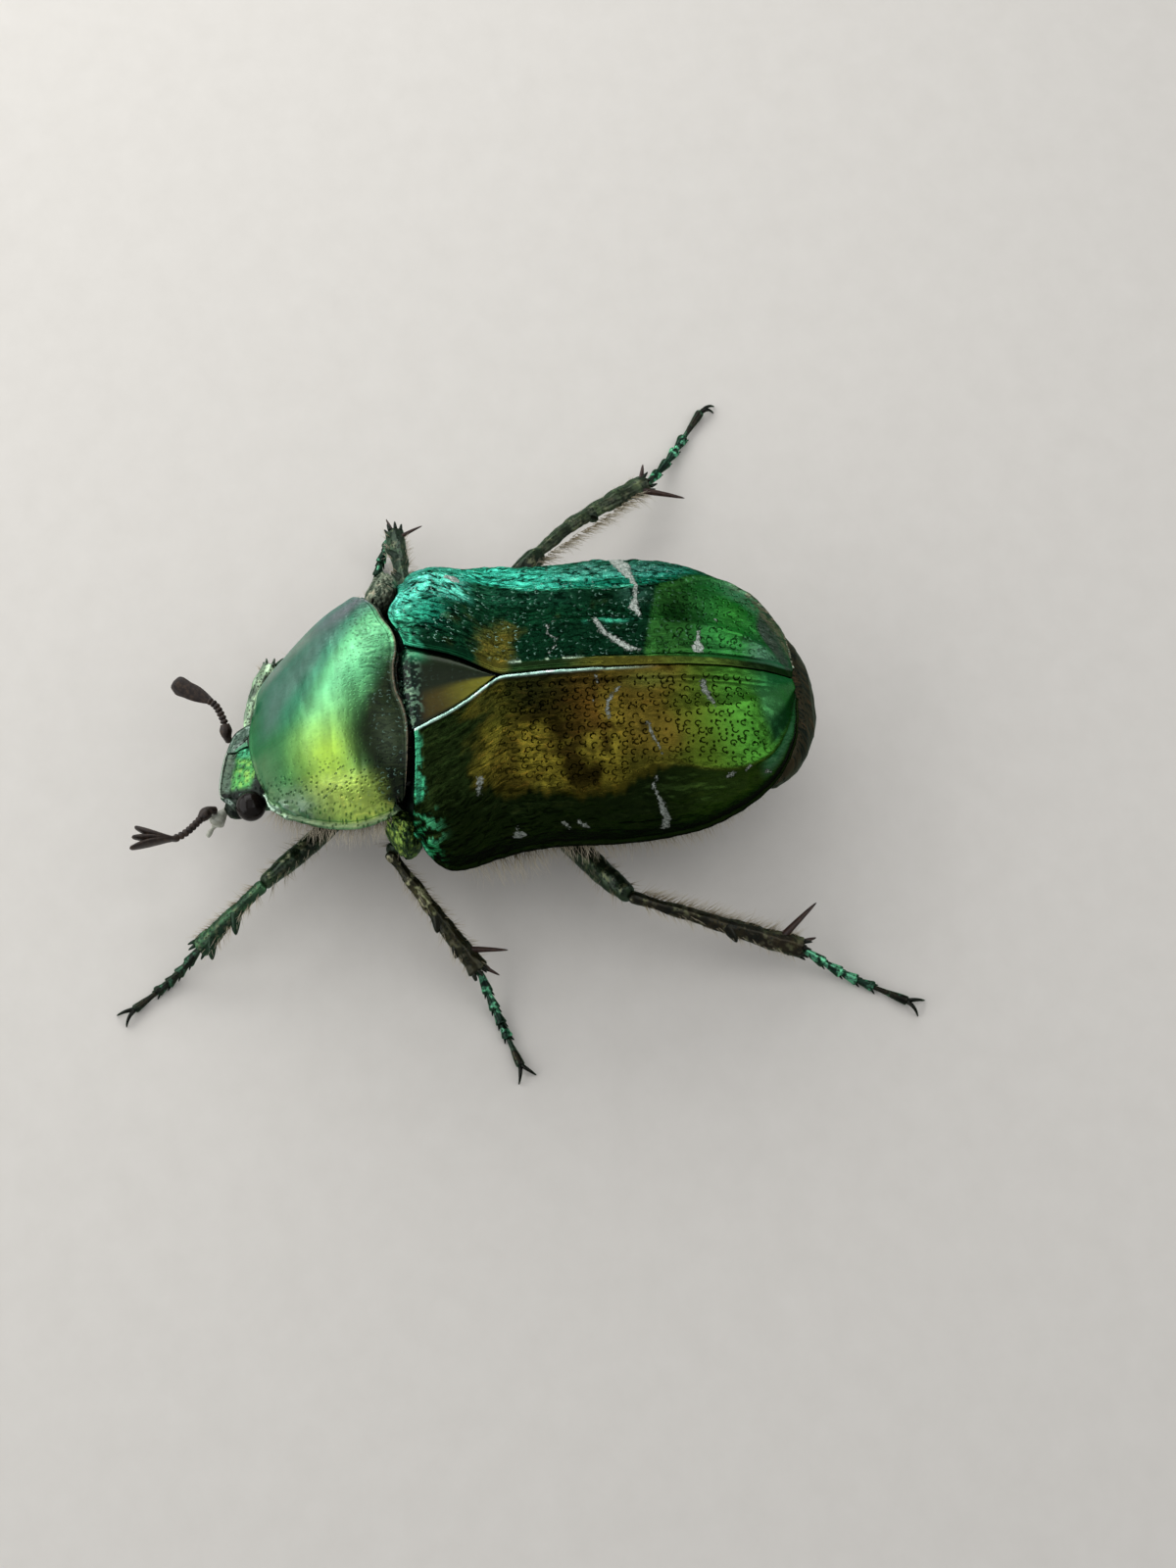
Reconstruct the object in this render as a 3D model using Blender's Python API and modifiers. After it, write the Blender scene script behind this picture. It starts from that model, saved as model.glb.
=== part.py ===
"""Rose chafer (Cetonia aurata) standing with its left front leg reaching forward.

Frame: +X is the beetle's left, +Y its tail, +Z up, and the floor is Z = 0.
All shape values below are millimetres; MM turns them into metres.
"""
import math

import bmesh
import bpy
from mathutils import Matrix, Vector

MM = 0.001

# ---------------------------------------------------------------- driving dimensions (mm)
SHELL = 0.5                 # thickness of the wing cases, the shield and the scutellum
CUT = 0.07                  # thin cut between neighbouring pieces
LIMB_MIN = 0.25             # smallest radius of a foot or a feeler

ELYTRA_FRONT = 7.1          # station of the shoulders
ELYTRA_BACK = 18.22         # station of the wing case tips
ELYTRA_HALF = 0.96          # scale of the half width table
ELYTRA_TOP = 6.87           # height of the seam at its highest
ELYTRA_APEX = 4.8           # height of the seam at the tail
MARGIN_Z = 4.17             # height of the side margin
SEAM_GAP = 0.03             # half of the gap along the seam

SHIELD_HALF = 0.9
SHIELD_FRONT_Z = 3.65
SHIELD_SIDE_Z = 3.56
SHIELD_HIND_SIDE_Z = 5.36
SHIELD_TOP = 6.67
SHIELD_YAW = 3.18           # degrees, front end towards the left
SHIELD_PIVOT = (0.0, 6.8)
# The left side of the shield is drawn in, as (station, mm): its margin, and its hind corner forwards.
SHIELD_LEFT_TRIM = ((0, 0), (0.1, 0.02), (0.3, 0.19), (0.5, 0.33), (0.7, 0.44), (0.9, 0.6), (1, 0.63))
SHIELD_LEFT_LEAD = ((0, 0), (0.7, 0), (0.8, 0.05), (0.9, 0.15), (1, 0.4))

HEAD_FRONT = (0.35, 1.33)   # middle of the clypeus edge
HEAD_YAW = 12.0             # degrees, face towards the right
EYE_RADIUS = 0.42
EYE_SIDE = 1.10
EYE_BACK = 1.05
EYE_Z = 2.5

BODY_INSET = 0.66           # trunk below the wing cases, in from their outer face
SHIELD_INSET = 0.88         # first ring below the shield, in from its outer face
RIM_INSET = 0.12            # belly side of the trunk, in from the margin of the wing cases
RIM_DROP = 0.14             # and below it
SHIELD_RIM_INSET = 0.3      # the same for the first ring under the shield
SHIELD_RIM_DROP = 0.35

PAD_Z = 0.21                # height of a foot's centre line where it lies on the floor


# ---------------------------------------------------------------- curves
def lerp(a, b, t):
    return a + (b - a) * t


def curve(t, knots):
    """Smooth value at t through (t, value) knots, held constant past the ends."""
    last = len(knots) - 1
    t = min(max(t, knots[0][0]), knots[last][0])
    i = 0
    while i < last - 1 and t > knots[i + 1][0]:
        i += 1

    def slope(k):
        a = knots[max(k - 1, 0)]
        b = knots[min(k + 1, last)]
        return (b[1] - a[1]) / (b[0] - a[0])

    (t0, v0), (t1, v1) = knots[i], knots[i + 1]
    h = t1 - t0
    q = (t - t0) / h
    m0, m1 = slope(i), slope(i + 1)
    return ((2 * q ** 3 - 3 * q ** 2 + 1) * v0 + (q ** 3 - 2 * q ** 2 + q) * h * m0
            + (3 * q ** 2 - 2 * q ** 3) * v1 + (q ** 3 - q ** 2) * h * m1)


def power(value, exponent):
    """Signed power, so a superellipse keeps its four quarters."""
    return math.copysign(abs(value) ** exponent, value)


def yaw(point, degrees, pivot):
    angle = math.radians(degrees)
    x = point[0] - pivot[0]
    y = point[1] - pivot[1]
    return (pivot[0] + math.cos(angle) * x - math.sin(angle) * y,
            pivot[1] + math.sin(angle) * x + math.cos(angle) * y,
            point[2])


# ---------------------------------------------------------------- materials and meshes
def clear_scene():
    for obj in list(bpy.data.objects):
        bpy.data.objects.remove(obj, do_unlink=True)


def new_collection(name):
    found = bpy.data.collections.new(name)
    bpy.context.scene.collection.children.link(found)
    return found


def make_material(name, colour, roughness, metallic):
    material = bpy.data.materials.new(name)
    material.use_nodes = True
    shader = material.node_tree.nodes["Principled BSDF"]
    shader.inputs["Base Color"].default_value = (*colour, 1.0)
    shader.inputs["Roughness"].default_value = roughness
    shader.inputs["Metallic"].default_value = metallic
    return material


clear_scene()
PARTS = new_collection("rose_chafer")
CUTTERS = new_collection("cutters")
COLOURS = {
    "wing_case": ((0.10, 0.36, 0.10), 0.28, 0.9),
    "shield": ((0.16, 0.42, 0.10), 0.25, 0.9),
    "underside": ((0.05, 0.09, 0.04), 0.4, 0.7),
    "leg": ((0.04, 0.06, 0.03), 0.4, 0.6),
    "foot": ((0.03, 0.10, 0.06), 0.35, 0.7),
    "horn": ((0.03, 0.02, 0.015), 0.45, 0.0),
    "eye": ((0.01, 0.008, 0.008), 0.1, 0.0),
}


def add_object(name, points, faces, kind):
    """One closed or open mesh with smooth shading and a material of its own."""
    mesh = bpy.data.meshes.new(name)
    mesh.from_pydata([[c * MM for c in p] for p in points], [], faces)
    mesh.validate()
    obj = bpy.data.objects.new(name, mesh)
    PARTS.objects.link(obj)
    mesh.materials.append(make_material("mat_" + name, *COLOURS[kind]))
    mesh.shade_smooth()
    return obj


def face_outwards(obj):
    bm = bmesh.new()
    bm.from_mesh(obj.data)
    bmesh.ops.recalc_face_normals(bm, faces=bm.faces)
    bm.to_mesh(obj.data)
    bm.free()


def loft(name, rings, kind):
    """Closed body through rings of equal count; each end is closed by a fan of faces."""
    count = len(rings[0])
    points = [tuple(p) for ring in rings for p in ring]
    faces = []
    for r in range(len(rings) - 1):
        for k in range(count):
            n = (k + 1) % count
            faces.append((r * count + k, r * count + n, (r + 1) * count + n, (r + 1) * count + k))
    for start in (0, (len(rings) - 1) * count):
        ring = points[start:start + count]
        points.append(tuple(sum(p[i] for p in ring) / count for i in range(3)))
        middle = len(points) - 1
        for k in range(count):
            faces.append((start + k, start + (k + 1) % count, middle))
    obj = add_object(name, points, faces, kind)
    face_outwards(obj)
    return obj


def sheet(name, grid, kind):
    """Open surface through a grid of points, facing up and thickened downwards."""
    rows, columns = len(grid), len(grid[0])
    points = [p for row in grid for p in row]
    faces = []
    for r in range(rows - 1):
        for c in range(columns - 1):
            faces.append((r * columns + c, r * columns + c + 1, (r + 1) * columns + c + 1,
                          (r + 1) * columns + c))
    obj = add_object(name, points, faces, kind)
    if sum(face.normal.z * face.area for face in obj.data.polygons) < 0:
        obj.data.flip_normals()
    solid = obj.modifiers.new("thickness", "SOLIDIFY")
    solid.thickness = SHELL * MM
    solid.offset = -1.0
    return obj


def apply_modifiers(obj):
    """Bake the modifiers, so that the body can be cut or joined."""
    depsgraph = bpy.context.evaluated_depsgraph_get()
    mesh = bpy.data.meshes.new_from_object(obj.evaluated_get(depsgraph))
    obj.modifiers.clear()
    obj.data = mesh


def boolean(obj, other, operation):
    step = obj.modifiers.new(operation.lower(), "BOOLEAN")
    step.operation = operation
    step.solver = "EXACT"
    step.object = other


def join_pieces(body, pieces):
    """Unite the small pieces with the body they grow from."""
    for piece in pieces:
        boolean(body, piece, "UNION")
    apply_modifiers(body)
    for piece in pieces:
        bpy.data.objects.remove(piece, do_unlink=True)


def keep_as_cutter(obj):
    obj.hide_render = True
    obj.display_type = "WIRE"


# ---------------------------------------------------------------- round limbs
def frame_along(direction):
    """Side and up vectors square to a direction."""
    d = Vector(direction).normalized()
    side = d.cross(Vector((0, 0, 1)))
    if side.length < 1e-6:
        side = d.cross(Vector((0, 1, 0)))
    side.normalize()
    return side, side.cross(d).normalized()


def limb_ring(centre, direction, wide, high, sides):
    side, top = frame_along(direction)
    ring = []
    for k in range(sides):
        a = 2 * math.pi * (k + 0.5) / sides
        ring.append(Vector(centre) + side * (wide * math.cos(a)) + top * (high * math.sin(a)))
    return ring


def limb(name, path, radii, kind, sides=8, floor=None):
    """Tapering body along a path of points; radii are (wide, high) pairs."""
    rings = []
    for i, centre in enumerate(path):
        before = Vector(path[max(i - 1, 0)])
        after = Vector(path[min(i + 1, len(path) - 1)])
        ring = limb_ring(centre, after - before, *radii[i], sides)
        if floor is not None:
            ring = [Vector((p.x, p.y, max(p.z, floor))) for p in ring]
        rings.append(ring)
    return loft(name, rings, kind)


def straight(start, end, stations):
    start, end = Vector(start), Vector(end)
    return [start.lerp(end, t) for t in stations]


def spike(start, end, radius, tip=0.1, sides=6):
    """A tooth, spur or claw piece, joined later to the body it grows from."""
    path = straight(start, end, (0.0, 0.6, 1.0))
    return limb("spike", path, [(radius, radius), (radius * 0.75,) * 2, (tip, tip)], "horn", sides)


def ellipsoid(name, centre, radii, kind, segments=10, rings=6, turn=0.0, collection=PARTS):
    bm = bmesh.new()
    bmesh.ops.create_uvsphere(bm, u_segments=segments, v_segments=rings, radius=1.0)
    spin = Matrix.Rotation(math.radians(turn), 4, "Z")
    size = Matrix.Diagonal((*[r * MM for r in radii], 1.0))
    place = Matrix.Translation(Vector(centre) * MM)
    bmesh.ops.transform(bm, matrix=place @ spin @ size, verts=bm.verts)
    mesh = bpy.data.meshes.new(name)
    bm.to_mesh(mesh)
    bm.free()
    obj = bpy.data.objects.new(name, mesh)
    collection.objects.link(obj)
    mesh.materials.append(make_material("mat_" + name, *COLOURS[kind]))
    mesh.shade_smooth()
    return obj


# ---------------------------------------------------------------- wing cases
HALF_WIDTH = ((0, 3.9), (0.04, 4.5), (0.1, 4.8), (0.22, 4.6), (0.36, 4.45), (0.55, 4.5),
              (0.72, 4.2), (0.86, 3.2), (0.95, 1.9), (1, 0.5))


def elytra_half_width(s):
    return ELYTRA_HALF * curve(s, HALF_WIDTH)


def elytra_margin_z(s):
    return curve(s, ((0, MARGIN_Z + 0.6), (0.1, MARGIN_Z - 0.3), (0.3, MARGIN_Z), (0.6, MARGIN_Z - 0.1),
                     (0.85, MARGIN_Z - 0.1), (1, ELYTRA_APEX - 0.35)))


def elytra_seam_z(s):
    top, apex = ELYTRA_TOP, ELYTRA_APEX
    return curve(s, ((0, top - 0.25), (0.25, top), (0.5, top - 0.1), (0.75, lerp(top, apex, 0.25)),
                     (0.92, lerp(top, apex, 0.65)), (1, apex)))


def elytra_inner_x(y):
    """Inner edge: it runs along the scutellum, then along the seam."""
    return curve(y - ELYTRA_FRONT, ((0.1, 1.35), (1.5, 0.75), (2.6, 0.08), (2.9, SEAM_GAP), (12, SEAM_GAP)))


def elytra_margin_y(s):
    front, back = ELYTRA_FRONT, ELYTRA_BACK
    length = back - front
    return curve(s, ((0, front - 0.1), (0.1, front + 0.9), (0.36, front + 0.345 * length),
                     (0.55, front + 0.55 * length), (0.72, front + 0.745 * length),
                     (0.86, front + 0.91 * length), (0.95, front + 0.99 * length), (1, back + 0.12)))


def elytron_point(s, u, side):
    angle = u * math.pi / 2
    seam_y = lerp(ELYTRA_FRONT + 0.15, ELYTRA_BACK, s)
    inner = max(SEAM_GAP, elytra_inner_x(seam_y))
    outer = elytra_half_width(s)
    low, high = elytra_margin_z(s), elytra_seam_z(s)
    return (side * lerp(inner, outer, math.sin(angle) ** 0.76),
            lerp(seam_y, elytra_margin_y(s), math.sin(angle) ** 1.5),
            low + (high - low) * max(math.cos(angle), 0.0) ** 0.8)


def build_elytron(name, side):
    rows, columns = 17, 9
    grid = [[elytron_point(r / (rows - 1), c / (columns - 1), side) for c in range(columns)]
            for r in range(rows)]
    return sheet(name, grid, "wing_case")


# ---------------------------------------------------------------- shield over the front body
def shield_point(s, u, inset=0.0):
    half = SHIELD_HALF * curve(s, ((0, 1.5), (0.08, 2.1), (0.3, 3.0), (0.55, 3.8), (0.8, 4.15),
                                   (0.95, 4.15), (1, 4.05)))
    side_y = curve(s, ((0, 2.6), (0.08, 2.75), (0.3, 3.7), (0.55, 4.9), (0.8, 5.9), (1, 6.5)))
    if u > 0:
        half -= curve(s, SHIELD_LEFT_TRIM)
        side_y -= curve(s, SHIELD_LEFT_LEAD)
    mid_y = lerp(2.3, 6.75, s)
    front, top = SHIELD_FRONT_Z, SHIELD_TOP
    high = curve(s, ((0, front), (0.2, lerp(front, top, 0.42)), (0.5, lerp(front, top, 0.85)),
                     (0.8, top), (1, top)))
    low = curve(s, ((0, SHIELD_SIDE_Z - 0.1), (0.3, SHIELD_SIDE_Z),
                    (0.6, lerp(SHIELD_SIDE_Z, SHIELD_HIND_SIDE_Z, 0.4)), (1, SHIELD_HIND_SIDE_Z)))
    angle = u * math.pi / 2
    point = ((half - inset) * power(math.sin(angle), 0.9),
             lerp(mid_y, side_y, abs(math.sin(angle)) ** 1.6),
             low + (high - inset - low) * max(math.cos(angle), 0.0) ** 0.85)
    return yaw(point, SHIELD_YAW, SHIELD_PIVOT)


def build_pronotum():
    rows, columns = 10, 15
    grid = [[shield_point(r / (rows - 1), 2 * c / (columns - 1) - 1) for c in range(columns)]
            for r in range(rows)]
    return sheet("pronotum", grid, "shield")


def build_prothorax():
    """Body of the first ring: it fills the shield and closes it from below."""
    rings = []
    steps = 6
    half_count = 8
    for r in range(steps):
        s = lerp(0.2, 0.98, r / (steps - 1))
        upper = [shield_point(s, 2 * c / half_count - 1, SHIELD_INSET) for c in range(half_count + 1)]
        right = Vector(shield_point(s, -1, SHIELD_RIM_INSET))
        left = Vector(shield_point(s, 1, SHIELD_RIM_INSET))
        middle = (left + right) / 2
        bottom_z = curve(s, ((0.2, 1.95), (0.5, 1.65), (0.8, 1.65), (0.98, 2.0)))
        lower = []
        for c in range(half_count + 1):
            angle = math.pi * (c / half_count - 0.5)
            point = middle - (left - right) * (0.5 * power(math.sin(angle), 1.1))
            point.z = lerp(middle.z - SHIELD_RIM_DROP, bottom_z, max(math.cos(angle), 0.0) ** 0.95)
            lower.append(tuple(point))
        rings.append(upper + lower)
    return loft("prothorax", rings, "underside")


def build_scutellum():
    """Triangular plate between the fronts of the wing cases."""
    rows, columns = 7, 5
    front, back = ELYTRA_FRONT - 0.02, ELYTRA_FRONT + 2.3
    grid = []
    for r in range(rows):
        y = lerp(front, back, r / (rows - 1))
        half = elytra_inner_x(max(y, ELYTRA_FRONT + 0.1)) - CUT
        z = elytra_seam_z((y - ELYTRA_FRONT) / (ELYTRA_BACK - ELYTRA_FRONT)) - 0.06
        row = []
        for c in range(columns):
            across = 2 * c / (columns - 1) - 1
            row.append((half * across, y, z - 0.05 * across ** 2))
        grid.append(row)
    return sheet("scutellum", grid, "shield")


# ---------------------------------------------------------------- trunk
def trunk_ring(y, lower_half, bottom_z):
    """Ring of the trunk: the top follows the wing cases, the belly is a rounded keel."""
    s = (y - ELYTRA_FRONT) / (ELYTRA_BACK - ELYTRA_FRONT)
    s = min(max(s, 0.0), 0.97)
    half = elytra_half_width(s) - BODY_INSET
    margin = elytra_margin_z(s)
    top = elytra_seam_z(s) - BODY_INSET - 0.1
    side_z = margin - RIM_DROP
    lower_half = min(lower_half, elytra_half_width(s) - RIM_INSET)
    ring = []
    count = 4
    for k in range(2 * count + 1):
        angle = math.pi / 2 * (k / count - 1)
        low = min(margin - 0.02, top - 0.1)
        ring.append((half * power(math.sin(angle), 0.76), y, low + (top - low) * math.cos(angle) ** 0.8))
    for k in range(2 * count + 1):
        angle = math.pi / 2 * (1 - k / count)
        ring.append((lower_half * power(math.sin(angle), 1.05), y,
                     side_z - (side_z - bottom_z) * math.cos(angle) ** 0.9))
    return ring


THORAX_HALF = ((6.84, 2.9), (7.4, 3.2), (8.2, 3.9), (9.2, 4.25), (10.2, 4.2), (11.2, 4.1))
THORAX_BOTTOM = ((6.84, 2.3), (7.6, 1.75), (8.4, 1.45), (9.4, 1.35), (11.2, 1.4))
ABDOMEN_HALF = ((11.2, 4.1), (12.6, 4.2), (14.2, 4.1), (15.6, 3.8), (16.7, 3.3), (17.5, 2.8))
ABDOMEN_BOTTOM = ((11.2, 1.4), (13.0, 1.35), (15.0, 1.5), (16.6, 1.85), (17.5, 2.15))


def build_thorax():
    stations = (6.84, 7.4, 8.1, 8.9, 9.8, 10.6, 11.15)
    rings = [trunk_ring(y, curve(y, THORAX_HALF), curve(y, THORAX_BOTTOM)) for y in stations]
    return loft("thorax", rings, "underside")


def build_abdomen():
    """Five belly rings show as shallow steps."""
    rings = []
    start, end, steps = 11.15 + CUT, 17.45, 10
    for r in range(steps + 1):
        y = lerp(start, end, r / steps)
        step = 0.05 * (r % 2)
        rings.append(trunk_ring(y, curve(y, ABDOMEN_HALF) - step, curve(y, ABDOMEN_BOTTOM) + step))
    return loft("abdomen", rings, "underside")


def build_pygidium():
    """Last plate of the tail, showing behind and below the wing cases."""
    rings = []
    stations = ((17.45 + CUT, 2.65, 3.85, 2.16), (17.85, 2.5, 3.9, 2.25), (18.25, 2.2, 3.9, 2.38),
                (18.6, 1.75, 3.7, 2.5), (18.88, 1.15, 3.45, 2.65), (19.02, 0.5, 3.2, 2.8))
    sides = 14
    for y, half, top, bottom in stations:
        middle = (top + bottom) / 2
        ring = []
        for k in range(sides):
            angle = 2 * math.pi * k / sides
            ring.append((half * power(math.cos(angle), 0.85), y,
                         middle + (top - bottom) / 2 * power(math.sin(angle), 0.8)))
        rings.append(ring)
    return loft("pygidium", rings, "underside")


def build_mesepimeron(name, side):
    """Wedge that shows between the shield's hind corner and the shoulder."""
    centre = (side * 3.78 + (0.05 if side > 0 else -0.05), 6.73, 4.25)
    return ellipsoid(name, centre, (0.55, 0.23, 0.75), "shield", 10, 8, turn=side * 8)


# ---------------------------------------------------------------- head
def head_point(across, back, z):
    """Head coordinates: across to the left, back from the clypeus edge, height."""
    turn = math.radians(HEAD_YAW)
    return (HEAD_FRONT[0] + across * math.cos(turn) + back * math.sin(turn),
            HEAD_FRONT[1] - across * math.sin(turn) + back * math.cos(turn), z)


def build_head():
    stations = ((0.0, 0.93, 2.14, 1.9), (0.12, 1.03, 2.26, 1.75), (0.45, 1.0, 2.48, 1.62),
                (0.8, 1.02, 2.7, 1.6), (1.05, 1.1, 2.84, 1.65), (1.3, 1.1, 2.92, 1.75),
                (1.55, 1.0, 2.94, 1.8), (1.72, 0.82, 2.9, 1.9), (1.8, 0.6, 2.8, 2.0))
    sides = 16
    rings = []
    for back, half, top, bottom in stations:
        middle = (top + bottom) / 2
        ring = []
        for k in range(sides):
            angle = 2 * math.pi * k / sides
            ring.append(head_point(half * power(math.cos(angle), 0.7), back,
                                   middle + (top - bottom) / 2 * power(math.sin(angle), 0.75)))
        rings.append(ring)
    return loft("head", rings, "shield")


def build_eyes(head):
    """Each eye sits in a socket that is cut a little wider than the eye."""
    for name, side in (("eye_left", 1), ("eye_right", -1)):
        centre = head_point(side * EYE_SIDE, EYE_BACK, EYE_Z)
        ellipsoid(name, centre, (EYE_RADIUS,) * 3, "eye", 12, 8)
        socket = ellipsoid("socket_" + name, centre, (EYE_RADIUS + CUT,) * 3, "eye", 12, 8,
                           collection=CUTTERS)
        keep_as_cutter(socket)
        boolean(head, socket, "DIFFERENCE")


def build_palp(name, side):
    """Mouth feeler: a round inner piece and a thinner outer one."""
    path = [head_point(side * 0.65, 0.25, 1.26), head_point(side * 0.85, 0.05, 1.2),
            head_point(side * 1.04, -0.1, 1.18), head_point(side * 1.2, -0.22, 1.14),
            head_point(side * 1.36, -0.36, 1.1), head_point(side * 1.55, -0.52, 1.05)]
    radii = [(0.2, 0.2), (0.26, 0.26), (0.27, 0.27), (0.25, 0.25), (0.25, 0.25), (0.2, 0.2)]
    return limb(name, path, radii, "horn", sides=8)


# Each antenna: the points of its stem, then where its three leaves spring from, where they
# end, and half of a leaf's width and height.
ANTENNAE = {
    "left": {
        "stem": ((1.22, 1.02, 1.62), (1.3, 0.8, 1.78), (1.57, 0.6, 1.95), (1.97, 0.25, 2.1),
                 (2.25, -0.04, 2.15), (2.4, -0.36, 2.15)),
        "root": (2.43, -0.46, 2.15),
        "tips": ((1.9, -1.3, 2.2), (2.27, -1.36, 2.15), (2.6, -1.42, 2.1)),
        "half": (0.17, 0.27),
    },
    "right": {
        "stem": ((-0.95, 1.5, 1.62), (-1.1, 1.45, 1.85), (-1.46, 1.41, 2.0), (-1.92, 1.22, 2.1),
                 (-2.1, 1.05, 2.1)),
        "root": (-2.16, 0.99, 2.1),
        "tips": ((-2.85, -0.02, 2.25), (-2.83, -0.02, 2.05), (-2.81, -0.02, 1.88)),
        "half": (0.27, 0.15),
    },
}


def build_antenna(name):
    """Stem with a swollen first joint, and a club of three leaves."""
    shape = ANTENNAE[name]
    stem_points = shape["stem"]
    base = shape["root"]
    wide, high = shape["half"]
    count = len(stem_points)
    radii = [(0.27, 0.27), (0.29, 0.29)] + [(LIMB_MIN, LIMB_MIN)] * (count - 2)
    limb("antenna_" + name + "_stem", stem_points, radii, "horn", sides=8)
    pieces = []
    for tip in shape["tips"]:
        path = straight(base, tip, (0.0, 0.3, 0.65, 0.9, 1.0))
        profile = (0.6, 0.9, 1.0, 0.8, 0.45)
        direction = Vector(tip) - Vector(base)
        rings = []
        for centre, size in zip(path, profile):
            rings.append(limb_ring(centre, direction, wide * size, high * size, 8))
        pieces.append(loft("leaf", rings, "horn"))
    club = pieces[0]
    club.name = "antenna_" + name + "_club"
    join_pieces(club, pieces[1:])


# ---------------------------------------------------------------- legs
# Joint places of each leg: hip, knee, ankle and the end of the foot's last joint.
LEGS = {
    "front_left": ((1.75, 4.85, 1.75), (4.05, 2.36, 2.5), (5.3, 0.24, 1.0), (6.75, -1.85, PAD_Z)),
    "front_right": ((-0.95, 4.75, 1.4), (-0.7, 2.15, 1.25), (-3.12, 2.42, 0.66), (-3.95, 5.3, PAD_Z)),
    "middle_left": ((2.05, 7.75, 1.4), (3.35, 6.1, 2.4), (6.8, 8.44, 1.0), (9.55, 9.4, PAD_Z)),
    "middle_right": ((-2.1, 8.05, 1.4), (-3.6, 7.3, 2.3), (-7.85, 6.9, 1.05), (-5.5, 6.2, PAD_Z)),
    "hind_left": ((2.8, 11.1, 1.4), (5.43, 12.99, 2.5), (7.0, 17.98, 1.0), (8.65, 20.95, PAD_Z)),
    "hind_right": ((-2.85, 10.75, 1.4), (-5.5, 10.8, 2.6), (-8.83, 14.95, 1.0), (-11.7, 17.0, PAD_Z)),
}
FEMUR_HALF = {"front": (0.34, 0.42), "middle": (0.38, 0.46), "hind": (0.42, 0.55)}
TIBIA_HALF = {"front": (0.3, 0.27), "middle": (0.35, 0.3), "hind": (0.38, 0.3)}
HIP_SIZE = {"front": (0.75, 0.5, 0.5), "middle": (0.75, 0.5, 0.42), "hind": (1.1, 0.5, 0.42)}
HIP_CENTRE = {"front": (0.95, 5.35, 1.72), "middle": (1.2, 8.2, 1.42), "hind": (1.6, 10.75, 1.4)}


def joint_offset(direction_before, radius_before, direction_after):
    """How far past a joint the next length starts, so that a bent joint stays clear."""
    bend = Vector(direction_before).angle(Vector(direction_after))
    folded = 0.2 if bend > math.pi / 2 else 0.0
    return CUT + radius_before * math.sin(bend) + folded


def build_femur(name, pair, hip, knee):
    wide, high = FEMUR_HALF[pair]
    stations = (0.0, 0.08, 0.3, 0.55, 0.8, 0.94, 1.0)
    profile = (0.45, 0.7, 1.0, 1.0, 0.82, 0.7, 0.5)
    radii = [(max(wide * k, 0.2), max(high * k, 0.2)) for k in profile]
    return limb(name + "_femur", straight(hip, knee, stations), radii, "leg")


def build_tibia(name, pair, side, knee, ankle, before, teeth, spurs):
    wide, high = TIBIA_HALF[pair]
    direction = (Vector(ankle) - Vector(knee)).normalized()
    start = Vector(knee) + direction * joint_offset(before, 0.24, direction)
    stations = (0.0, 0.06, 0.3, 0.6, 0.85, 0.97, 1.0)
    profile = (0.6, 0.75, 0.8, 0.9, 1.1, 1.15, 0.8)
    radii = [(max(wide * k, 0.25), max(high * k, 0.25)) for k in profile]
    body = limb(name + "_tibia", straight(start, ankle, stations), radii, "leg")
    outer, _ = frame_along(direction)
    outer = outer * (-side if pair == "front" else side)
    pieces = []
    for station, reach in teeth:
        root = start.lerp(Vector(ankle), station)
        pieces.append(spike(root, root + outer * (wide + reach) + direction * 0.3, 0.26))
    for back, vector in spurs:
        root = Vector(ankle) - direction * back
        pieces.append(spike(root, root + Vector(vector), 0.2, 0.09))
    join_pieces(body, pieces)
    return direction


def foot_path(ankle, toe, sag, count):
    """Centre line of a foot: down from the ankle, then along the floor."""
    path = []
    for k in range(count):
        t = k / (count - 1)
        point = Vector(ankle).lerp(Vector(toe), t)
        drop = min(t / 0.62, 1.0)
        point.z = lerp(ankle[2], toe[2], drop * (2 - drop))
        point += Vector(sag) * math.sin(math.pi * t)
        path.append(point)
    return path


def build_foot(name, ankle, toe, before, spread, sag=(0, 0, 0), start=None):
    """Five joints and two claws; the last joint has a flat on the floor."""
    heading = (Vector(toe) - Vector(ankle)).normalized()
    if start is None:
        start = Vector(ankle) + heading * joint_offset(before, 0.33, heading)
    count = 11
    path = foot_path(start, toe, sag, count)
    radii = []
    for k in range(count):
        swell = 0.03 * (k % 2)
        radii.append((LIMB_MIN + swell, LIMB_MIN + swell))
    radii[0] = (0.2, 0.2)
    radii[-1] = (0.22, 0.22)
    body = limb(name + "_tarsus", path, radii, "foot", sides=8, floor=0.0)
    end_direction = (path[-1] - path[-2]).normalized()
    claws = []
    for angle in spread:
        turned = Matrix.Rotation(math.radians(angle), 3, "Z") @ end_direction
        root = path[-1] - end_direction * 0.15
        claws.append(spike(root, root + turned * 0.62 + Vector((0, 0, -0.08)), 0.19, 0.1))
    join_pieces(body, claws)


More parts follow.
